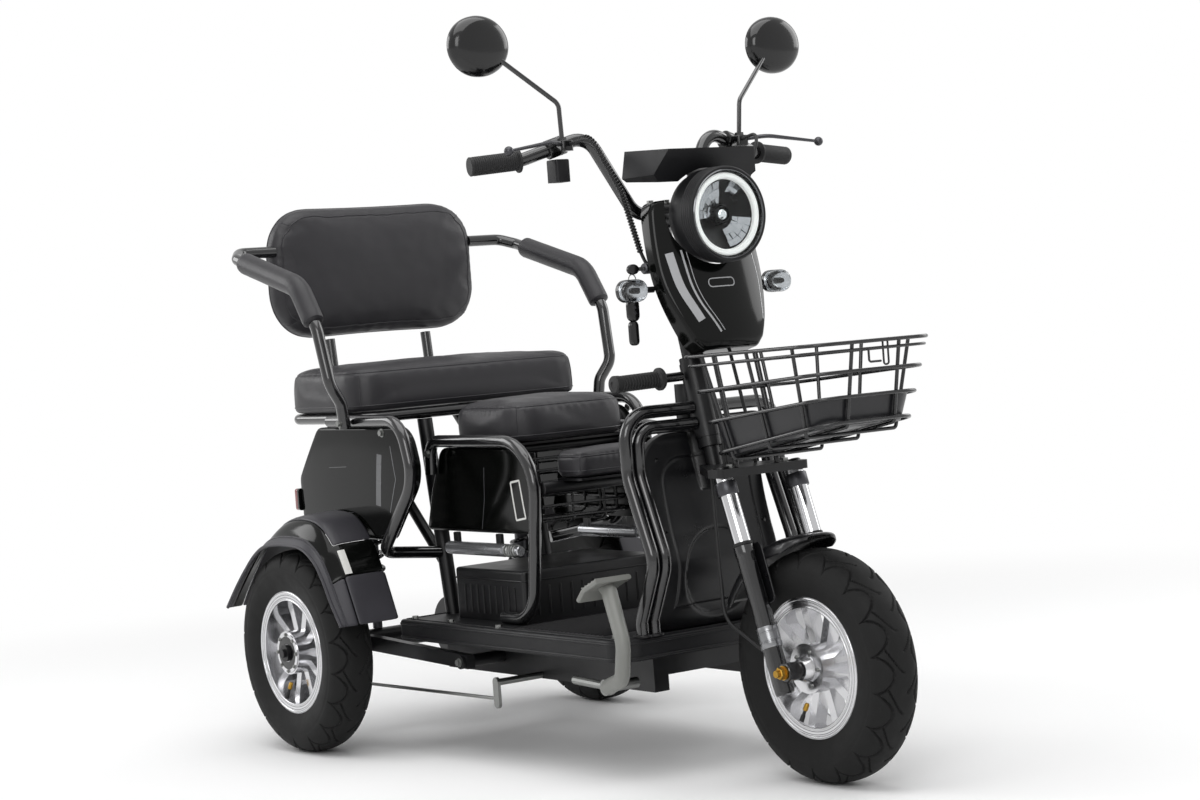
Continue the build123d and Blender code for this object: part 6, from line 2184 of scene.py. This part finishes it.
@dataclass
class Mudguard:
    """Arched front mudguard with side skirts and a turned-up tip."""

    outer: float = 210.9
    lip: float = 24.0
    half: float = 56.4
    first: float = 88.2
    last: float = 152.8
    wall: float = 0.0026

    def build(self) -> None:
        """Build the guard and its skirts."""
        hub = mm(1090, 0, 187.5)
        rows = []
        for share in (k / 44 for k in range(45)):
            turn = math.radians(self.first + (self.last - self.first) * share)
            tip = max(0.0, 1 - share / 0.16)
            tail = max(0.0, (share - 0.93) / 0.07)
            width = self.half * math.sqrt(max(0.02, 1 - 0.80 * tip**2.2)) * (1 - 0.12 * tail**2)
            lip = self.lip * (1 - 0.75 * tip) * (1 - 0.4 * tail)
            row = []
            for u in (-1 + 2 * j / 32 for j in range(33)):
                radius = self.outer - lip * abs(u) ** 3.2 - 2.0 * abs(u) ** 2
                left = width * math.sin(math.pi / 2 * u) * (1 - 0.02 * abs(u))
                row.append(mm(1090 + radius * math.cos(turn), left, 187.5 + radius * math.sin(turn)))
            rows.append(row)
        shape = grid_skin(rows)
        shape.faces.ensure_lookup_table()
        bmesh.ops.recalc_face_normals(shape, faces=shape.faces)
        probe = shape.faces[len(shape.faces) // 2 + 16]
        if (probe.calc_center_median() - hub).dot(probe.normal) < 0:
            bmesh.ops.reverse_faces(shape, faces=shape.faces)
        arch = as_object("mudguard_arch", shape, SATIN_PLASTIC)
        modified(arch, "SOLIDIFY", thickness=self.wall, offset=-1.0)
        mount(arch, Body.STEERING, "textured_plastic", ["front_mudguard"])
        outline = spaced(
            rounded_polygon(((966, 372, 10), (1016, 392, 10), (1046, 296, 12), (1016, 288, 12))), 3.0,
        )

        def skirt(side: float) -> Shape:
            """Side skirt by the fork leg."""
            return cover(outline, lambda u, v, d: mm(u, side * d, v), lambda u, v: 56.6, 53.8, 1.2, 4)

        on_steering("textured_plastic", "mudguard_skirts", mirrored(skirt), SATIN_PLASTIC)


@dataclass
class LegShield:
    """Moulded shield in front of the driver's legs."""

    half: float = 124.0
    channel: float = 34.0
    channel_foot: float = 466.0
    low: float = 238.6
    high: float = 565.2
    wall: float = 0.003
    profile: tuple[Pair, ...] = (
        (238, 815.5), (270, 827), (300, 840), (335, 848.5), (360, 848.5), (400, 837), (450, 825), (500, 818),
        (548, 812), (570, 816),
    )

    def ahead(self, high: float) -> float:
        """Place of the shield's face at a height, smoothed between its profile points."""
        points = self.profile
        k = max(0, min(len(points) - 2, sum(1 for z, _ in points if z <= high) - 1))
        p = [points[min(max(k + j, 0), len(points) - 1)] for j in (-1, 0, 1, 2)]
        t = (high - p[1][0]) / (p[2][0] - p[1][0])
        a, b, c, d = (q[1] for q in p)
        return 0.5 * (
            2 * b + (c - a) * t + (2 * a - 5 * b + 4 * c - d) * t * t + (3 * b - a - 3 * c + d) * t**3
        )

    def depth(self, u: float, v: float) -> float:
        """Place of the face, with the hollow behind the wheel, the stem's channel and rounded flanks."""
        away = math.hypot(u / 78.0, (v - 330) / 74.0)
        hollow = 7.0 * max(0.0, min(1.0, (1.06 - away) / 0.12)) ** 2 if away < 1.06 else 0.0
        flank = 7.0 * (abs(u) / self.half) ** 4
        face = self.ahead(v) - min(hollow, 7.0) - flank
        if v < self.channel_foot or abs(u) >= self.channel:
            return face
        stem = STEER_AHEAD - (v - STEER_HIGH) * math.tan(HEAD_LEAN)
        return min(face, stem - 1.03 * math.sqrt(self.channel**2 - u * u))

    def build(self) -> None:
        """Build the shield, its crease line and its screws."""
        corners = ((-1, self.low, 6), (1, self.low, 6), (1, self.high, 58), (-1, self.high, 58))
        outline = spaced(rounded_polygon([(hand * self.half, v, r) for hand, v, r in corners]), 4.0)

        def crease(share: float) -> float:
            """Depth of the crease line by share of the way to the middle."""
            return 1.6 * math.exp(-(((share - 0.235) / 0.012) ** 2))

        shape = cover(outline, lambda u, v, d: mm(d, u, v), self.depth, 0.0, 4.0, 64, crease, solid=False)
        for vertex in list(shape.verts)[: len(outline)]:
            vertex.co.x = REAR_X + (self.ahead(vertex.co.z / MM) - 17.0) * MM
        panel = as_object("leg_shield_panel", shape, SHIELD_PLASTIC)
        shade(modified(panel, "SOLIDIFY", thickness=self.wall, offset=-1.0), 38)
        mount(panel, Body.CHASSIS, "textured_plastic", ["leg_shield"])
        plug = [(-0.002, 0.0), (-0.002, 0.0048), (0.0006, 0.0044), (0.0002, 0.0026), (0.0002, 0.0)]
        spots = ((-96, 522), (96, 522), (-104, 402), (104, 402))
        plugs = merged(lathe(plug, mm(self.depth(u, v), u, v), FORWARD, 20) for u, v in spots)
        on_chassis("textured_plastic", "leg_shield_plugs", plugs, GLOSS_BLACK)


# ---------------------------------------------------------------- small fittings
@dataclass
class KeyRing:
    """Ignition key with its ring, chain and two radio fobs, hung beside the cowl."""

    lock: Point = (832.0, -112.0, 838.0)

    def plate(
        self, outline: Pairs, shift: Point, depth: Depth, back: float, edge: float, rings: int,
    ) -> Shape:
        """Cover that looks ahead, at a shift in millimetres from the lock."""
        a, y, z = (p + q for p, q in zip(self.lock, shift))
        return cover(outline, lambda u, v, d: mm(a + d, y + u, z + v), depth, back, edge, rings)

    def link(self, k: int) -> Shape:
        """One link of the chain, turned across its neighbours; the first is the ring."""
        a, y, z = self.lock
        middle = mm(a, y - 22, z - 8) - UP * (0.0085 + 0.0068 * k)
        way = FORWARD if k % 2 else LEFT
        outline = oval(*((0.0072, 0.0085) if k == 0 else (0.0030, 0.0046)), 18)
        return sweep([middle + way * u + UP * v for u, v in outline], circle(0.0009, 7), closed=True)

    def build(self) -> None:
        """Build the key, the ring, the chain and the fobs."""
        a, y, z = self.lock
        profile = [(0.0, 0.0), (0.0, 0.009), (0.012, 0.009), (0.014, 0.0075), (0.014, 0.0)]
        on_steering("plated_steel", "ignition_lock", lathe(profile, mm(a, y + 16, z), -LEFT, 28), SATIN_ALLOY)
        head = self.plate(oval(11.5, 8.5, 36), (0, -19, 0), lambda u, v: 2.6, -2.6, 1.6, 3)
        blade = self.plate(rounded_outline(6, 3.2, 1.0, 3), (0, -5, 0), lambda u, v: 0.9, -0.9, 0.3, 2)
        on_steering("textured_plastic", "key_head", head, GLOSS_BLACK)
        on_steering("plated_steel", "key_blade", blade, ZINC_PLATE)
        on_steering("plated_steel", "key_chain_links", merged(self.link(k) for k in range(7)), ZINC_PLATE)
        fobs = []
        for drop, across, half_u, half_v in ((66, 0, 11.5, 19), (104, -1.5, 8.5, 20)):
            outline = spaced(rounded_outline(half_u, half_v, half_u - 0.8, 8), 2.0)
            shift = (-3, across - 22, -drop)
            fobs.append(self.plate(outline, shift, lambda u, v: 4.6 - 0.012 * u * u, -4.0, 2.6, 6))
        on_steering("textured_plastic", "radio_key_fobs", merged(fobs), GLOSS_BLACK)
        profile = [(0.0, 0.0), (0.0, 0.0032), (0.0012, 0.0026), (0.0012, 0.0)]
        buttons = merged(lathe(profile, mm(a + 0.8, y - 22, z - 71 + 9 * k), FORWARD, 18) for k in range(3))
        on_steering("plated_steel", "fob_buttons", buttons, SATIN_ALLOY)


@dataclass
class RearSprings:
    """Coil springs and dampers over the rear axle."""

    left: float = 170.0
    low: float = 262.0
    high: float = 528.0
    turns: int = 10

    def coil(self, side: float) -> Shape:
        """One coil spring."""
        count = self.turns * 20
        route = []
        for k in range(count + 1):
            turn = 2 * math.pi * k / 20
            level = self.low + (self.high - self.low) * k / count
            out = Vector((0.0198 * math.cos(turn), 0.0198 * math.sin(turn), 0))
            route.append(mm(0, side * self.left, level) + out)
        return sweep(route, circle(0.0039, 10), UP)

    def damper(self, side: float) -> Shape:
        """Damper body, rod and spring seats."""
        profile = [
            (208, 0.0), (208, 9), (222, 9), (224, 14), (250, 14), (252, 23.5), (259, 23.5), (260, 13),
            (400, 13), (402, 6), (528, 6), (531, 23.5), (539, 23.5), (541, 9), (598, 9), (598, 0.0),
        ]
        return lathe_mm(profile, mm(0, side * self.left, 0), UP, 32)

    def build(self) -> None:
        """Build both shock absorbers."""
        on_chassis("spring_steel", "shock_coil_springs", mirrored(self.coil), GLOSS_BLACK, "rear_shocks")
        on_chassis("plated_steel", "shock_dampers", mirrored(self.damper), SATIN_ALLOY)


@dataclass
class Struts:
    """Side struts under the driver's seat with the coil at their front end."""

    left: float = 148.0
    high: float = 366.0
    rear: float = 240.0

    def tube(self, side: float) -> Shape:
        """Stepped tube of one strut."""
        profile = [
            (0.0, 0.0), (0.0, 10.2), (1.5, 11.8), (180, 11.8), (181, 9.2), (228, 9.2), (229.7, 8.0),
            (229.7, 0.0),
        ]
        return lathe_mm(profile, mm(self.rear, side * self.left, self.high), FORWARD, 36)

    def coil(self, side: float) -> Shape:
        """Coil at the front end of one strut."""
        start = mm(self.rear + 186, side * self.left, self.high)
        route = []
        for k in range(91):
            turn = 2 * math.pi * k / 18
            route.append(start + Vector((0.0004 * k, 0.0102 * math.cos(turn), 0.0102 * math.sin(turn))))
        return sweep(route, circle(0.0016, 8), FORWARD)

    def brackets(self, side: float) -> Shape:
        """Two plates that hold one strut."""
        outline = rounded_outline(7.9, 14.4, 2.5, 4)
        shapes = []
        for middle in (262, 400):
            place = partial(lambda middle, u, v, d: mm(middle + u, side * d, 380 + v), middle)
            shapes.append(cover(outline, place, lambda u, v: 147.9, 141.1, 0.8, 2))
        return merged(shapes)

    def build(self) -> None:
        """Build the strut tubes, coils and plates."""
        on_chassis("chrome_plate", "side_strut_tubes", mirrored(self.tube), STRUT_METAL, "side_struts")
        on_chassis("plated_steel", "side_strut_coils", mirrored(self.coil), ZINC_PLATE)
        on_chassis("frame_paint", "side_strut_brackets", mirrored(self.brackets), SATIN_COAT)


@dataclass
class TailLamps:
    """Ribbed red lenses at the rear edge of the side panels."""

    def box(self, side: float, half: Pair, pitch: float, depth: Depth, walls: Pair, rings: int) -> Shape:
        """Cover that looks back.

        Args:
            side: 1 for left, -1 for right.
            half: half of its width and of its height, in millimetres.
            pitch: distance between the points of its outline.
            depth: depth of its face.
            walls: depth of its back edge and radius of its round edge.
            rings: rings of faces between the edge and the middle.

        Returns:
            The cover.
        """
        outline = spaced(rounded_outline(*half, 5, 5), pitch)
        return cover(outline, lambda u, v, d: mm(-105.3 - d, side * 246 + u, 458 + v), depth, *walls, rings)

    def lens(self, side: float) -> Shape:
        """Lens of one lamp, with ribs across it."""
        return self.box(
            side, (12.8, 20.8), 1.4, lambda u, v: 15.2 - 0.5 * (1 + math.cos(v * 1.9)), (5.0, 2.0), 16,
        )

    def case(self, side: float) -> Shape:
        """Case behind one lens."""
        return self.box(side, (12.9, 20.9), 2.0, lambda u, v: 5.4, (0.1, 0.5), 3)

    def build(self) -> None:
        """Build both lamps."""
        on_chassis("lamp_lens", "tail_lamp_lenses", mirrored(self.lens), RED_LENS, "tail_lamps")
        on_chassis("textured_plastic", "tail_lamp_cases", mirrored(self.case), GLOSS_BLACK)


@dataclass
class FloorMat:
    """Ribbed rubber mat in the footboard's recess, and the footboard's bolts."""

    def build(self) -> None:
        """Build the mat, its ribs and the board's bolts."""
        outline = spaced(rounded_outline(134.4, 192.4, 11.5, 6), 6.0)
        mat = cover(outline, lambda u, v, d: mm(620 + u, v, 236 + d), lambda u, v: 1.2, 0.05, 0.6, 6)
        on_chassis("textured_plastic", "floor_mat", mat, MAT_RUBBER)
        ribs = seeds([(mm(498 + 12.2 * k, 0, 237.2), LEFT) for k in range(21)])
        sizes = {"Rib_length": 0.36, "Rib_width": 0.0016, "Rib_height": 0.005}
        grown = rib_pattern().grow("floor_mat_ribs", ribs, MAT_RUBBER, **sizes)
        mount(grown, Body.CHASSIS, "textured_plastic")
        spots = ((180, 196), (300, 196), (460, 200), (790, 190))
        bolts = seeds([(mm(a, side * y, 238.2), UP) for side in SIDES for a, y in spots])
        mount(screw_pattern().grow("footboard_bolts", bolts, ZINC_PLATE), Body.CHASSIS, "plated_steel")


@dataclass
class Fasteners:
    """Bolts and nuts on the frame, the fork crown and the bar clamp, and the basket's latch."""

    def build(self) -> None:
        """Build the fasteners of each body."""
        screws = screw_pattern()
        spots = ((350, 217.2, 172), (240, 273.2, 585), (226, 171.2, 538), (0, 209.5, 187.5))
        chassis = [(mm(a, side * y, z), LEFT * side) for side in SIDES for a, y, z in spots]
        mount(screws.grow("frame_bolts", seeds(chassis), ZINC_PLATE), Body.CHASSIS, "plated_steel")
        spots = ((955, 58, 507.2), (BAR_AHEAD, 17, BAR_HIGH + 17.2))
        steering = [(mm(a, side * y, z), UP) for a, y, z in spots for side in SIDES]
        mount(screws.grow("steering_bolts", seeds(steering), ZINC_PLATE), Body.STEERING, "plated_steel")
        hook = [mm(1266.5, y, z) for y, z in ((-20, 688), (-20, 668), (4, 668))]
        loop = [mm(1264, y, z) for y, z in ((12, 699), (12, 662), (22, 662), (22, 699))]
        latch = merged([tube(hook, 0.0018, [0.004], 8), tube(loop, 0.0016, [0.004, 0.004], 8)])
        on_steering("basket_wire", "basket_latch_hook", latch, DIPPED_WIRE)


@dataclass
class BrakePedal:
    """Cast brake pedal with its swept arm and ribbed tread."""

    left: float = -208.0
    arm: tuple[Point, ...] = (
        (785, -208, 160), (850, -226, 180), (868, -232, 240), (812, -212, 318), (797, -208, 328),
    )
    plate: tuple[Point, ...] = ((822, -209, 340), (782, -209, 323), (765, -209, 305))

    def build(self) -> None:
        """Build the arm, its pivot and the tread."""
        route = rounded_route([mm(*p) for p in self.arm], [0.024, 0.03, 0.02], 10)
        arm = sweep(route, circle(0.013, 26), None, lambda share: 0.94 + 0.1 * abs(1 - 2 * share))
        tread = sweep(
            rounded_route([mm(*p) for p in self.plate], [0.024], 8),
            rounded_outline(0.0045, 0.0358, 0.004, 4), UP,
        )
        on_chassis("grey_metal", "brake_pedal_casting", merged([arm, tread]), GREY_ENAMEL, "brake_pedal")
        profile = [(0.0, 0.0), (0.0, 0.009), (0.052, 0.009), (0.052, 0.0135), (0.066, 0.0135), (0.066, 0.0)]
        sleeve = lathe(profile, mm(785, -150, 160), -LEFT, 28)
        pull = rod([mm(785, self.left, 161), mm(690, self.left, 165)], 0.007, 18)
        on_chassis("plated_steel", "brake_pedal_pivot", merged([sleeve, pull]), ZINC_PLATE)
        places = seeds([(mm(775 + 9.5 * k, -209, 326.0 + 4.0 * k), LEFT) for k in range(5)])
        sizes = {"Rib_length": 0.062, "Rib_width": 0.0028, "Rib_height": 0.0024}
        grown = rib_pattern().grow("brake_pedal_ribs", places, GREY_ENAMEL, **sizes)
        mount(grown, Body.CHASSIS, "grey_metal")


@dataclass
class ParkingLever:
    """Side handle of the parking brake with its ribbed rubber grip."""

    root: Point = (807.0, -28.0, 656.0)
    tip: Point = (800.0, -166.0, 652.0)

    def build(self) -> None:
        """Build the bar and the grip."""
        start, end = mm(*self.root), mm(*self.tip)
        run = end - start
        length = run.length / MM
        bar = lathe([(0.0, 0.0), (0.0, 0.0078), (0.05, 0.0078), (0.05, 0.0)], start, run, 24)
        on_chassis("frame_paint", "parking_lever_bar", bar, POWDER_COAT, "parking_lever")
        flange = [(-97, 8.0), (-97, 18.0), (-95.5, 19.0), (-91.5, 19.0), (-90, 15.0)]
        knob = [(-13, 12.6), (-12, 14.6), (-3, 14.9), (-0.8, 13.2), (0, 6.0), (-1.5, 5.0), (-1.5, 0.0)]
        ribs: list[Pair] = []
        at = length - 86
        while at < length - 16:
            ribs += [(at, 12.6), (at + 1.0, 13.8), (at + 3.2, 13.8), (at + 4.2, 12.6)]
            at += 5.6
        ends = [[(length + a, r) for a, r in part] for part in (flange, knob)]
        grip = lathe_mm([*ends[0], *ribs, *ends[1]], start, run, 40)
        on_chassis("grip_rubber", "parking_lever_grip", grip, GRIP_RUBBER)


@dataclass
class Trim:
    """Edge mouldings of the footboard and the battery case, and the cable's spiral wrap."""

    def build(self) -> None:
        """Build the mouldings and the wrap."""
        corners = ((152.3, -214.7, 10), (837.7, -214.7, 42), (837.7, 214.7, 42), (152.3, 214.7, 10))
        board = rounded_polygon(corners, 10)
        beads = merged(
            ring_bead(inset(board, inward), level, radius, sides)
            for inward, level, radius, sides in (
                (0.0, 231.0, 0.0022, 10), (0.0, 206.5, 0.0026, 10), (12.0, 238.0, 0.0016, 8),
            )
        )
        on_chassis("textured_plastic", "footboard_edge_mouldings", beads, GRAINED_PLASTIC)
        case = [(361 + u, v) for u, v in rounded_outline(111, 148.6, 8, 6)]
        lid = ring_bead(inset(case, -0.2), 312.0, 0.0016, 8)
        on_chassis("textured_plastic", "battery_lid_seam", lid, SATIN_COAT)
        ribs = [mm(281 + 20 * k, side * 148.8, 276) for side in SIDES for k in range(9)]
        ribs += [mm(472.1, -120 + 24 * k, 276) for k in range(11)]
        sizes = {"Rib_length": 0.05, "Rib_width": 0.004, "Rib_height": 0.004}
        grown = rib_pattern().grow("battery_case_ribs", seeds([(p, UP) for p in ribs]), SATIN_COAT, **sizes)
        mount(grown, Body.CHASSIS, "textured_plastic")
        corners = (mm(770, -170, 1058), mm(806, -176, 1058), mm(818, -132, 965), mm(798, -88, 868))
        route = rounded_route(corners, [0.024, 0.04], 10)
        sizes = {"Pitch": 0.0055, "Ring_radius": 0.0042, "Wire_radius": 0.0014}
        wrap = ring_pattern().grow("cable_spiral_wrap", route_mesh(route), GLOSS_BLACK, **sizes)
        mount(wrap, Body.STEERING, "grip_rubber")


def main() -> None:
    """Build every sub-assembly in order."""
    logging.basicConfig(level=logging.INFO, format="%(message)s")
    Studio().build()
    dress_frame()
    parts = (
        Wheel("front", "front_wheel", Body.FRONT_WHEEL, "front_tyre", -1.0),
        Wheel("rear_left", "rear_wheel_left", Body.REAR_LEFT, "rear_tyre_left", 1.0),
        Wheel("rear_right", "rear_wheel_right", Body.REAR_RIGHT, "rear_tyre_right", -1.0),
        Cushion("rear_bench", Facing.UP, corner=0.062), Cushion("driver_seat", Facing.UP, corner=0.066),
        Cushion("child_seat", Facing.UP, corner=0.024, crown=0.004, pinch=0.002, round_top=0.012),
        Cushion("backrest", Facing.FORWARD, corner=0.092, crown=0.012), Armrest(), Hoops(), SidePanels(),
        Fenders(), Cowl(), Headlamp(), Mirrors(), Controls(), Signals(), Fork(), Mudguard(), LegShield(),
        KeyRing(), RearSprings(), Struts(), TailLamps(), FloorMat(), BrakePedal(), ParkingLever(), Trim(),
        Fasteners(),
    )
    for part in parts:
        part.build()


if __name__ == "__main__":
    main()
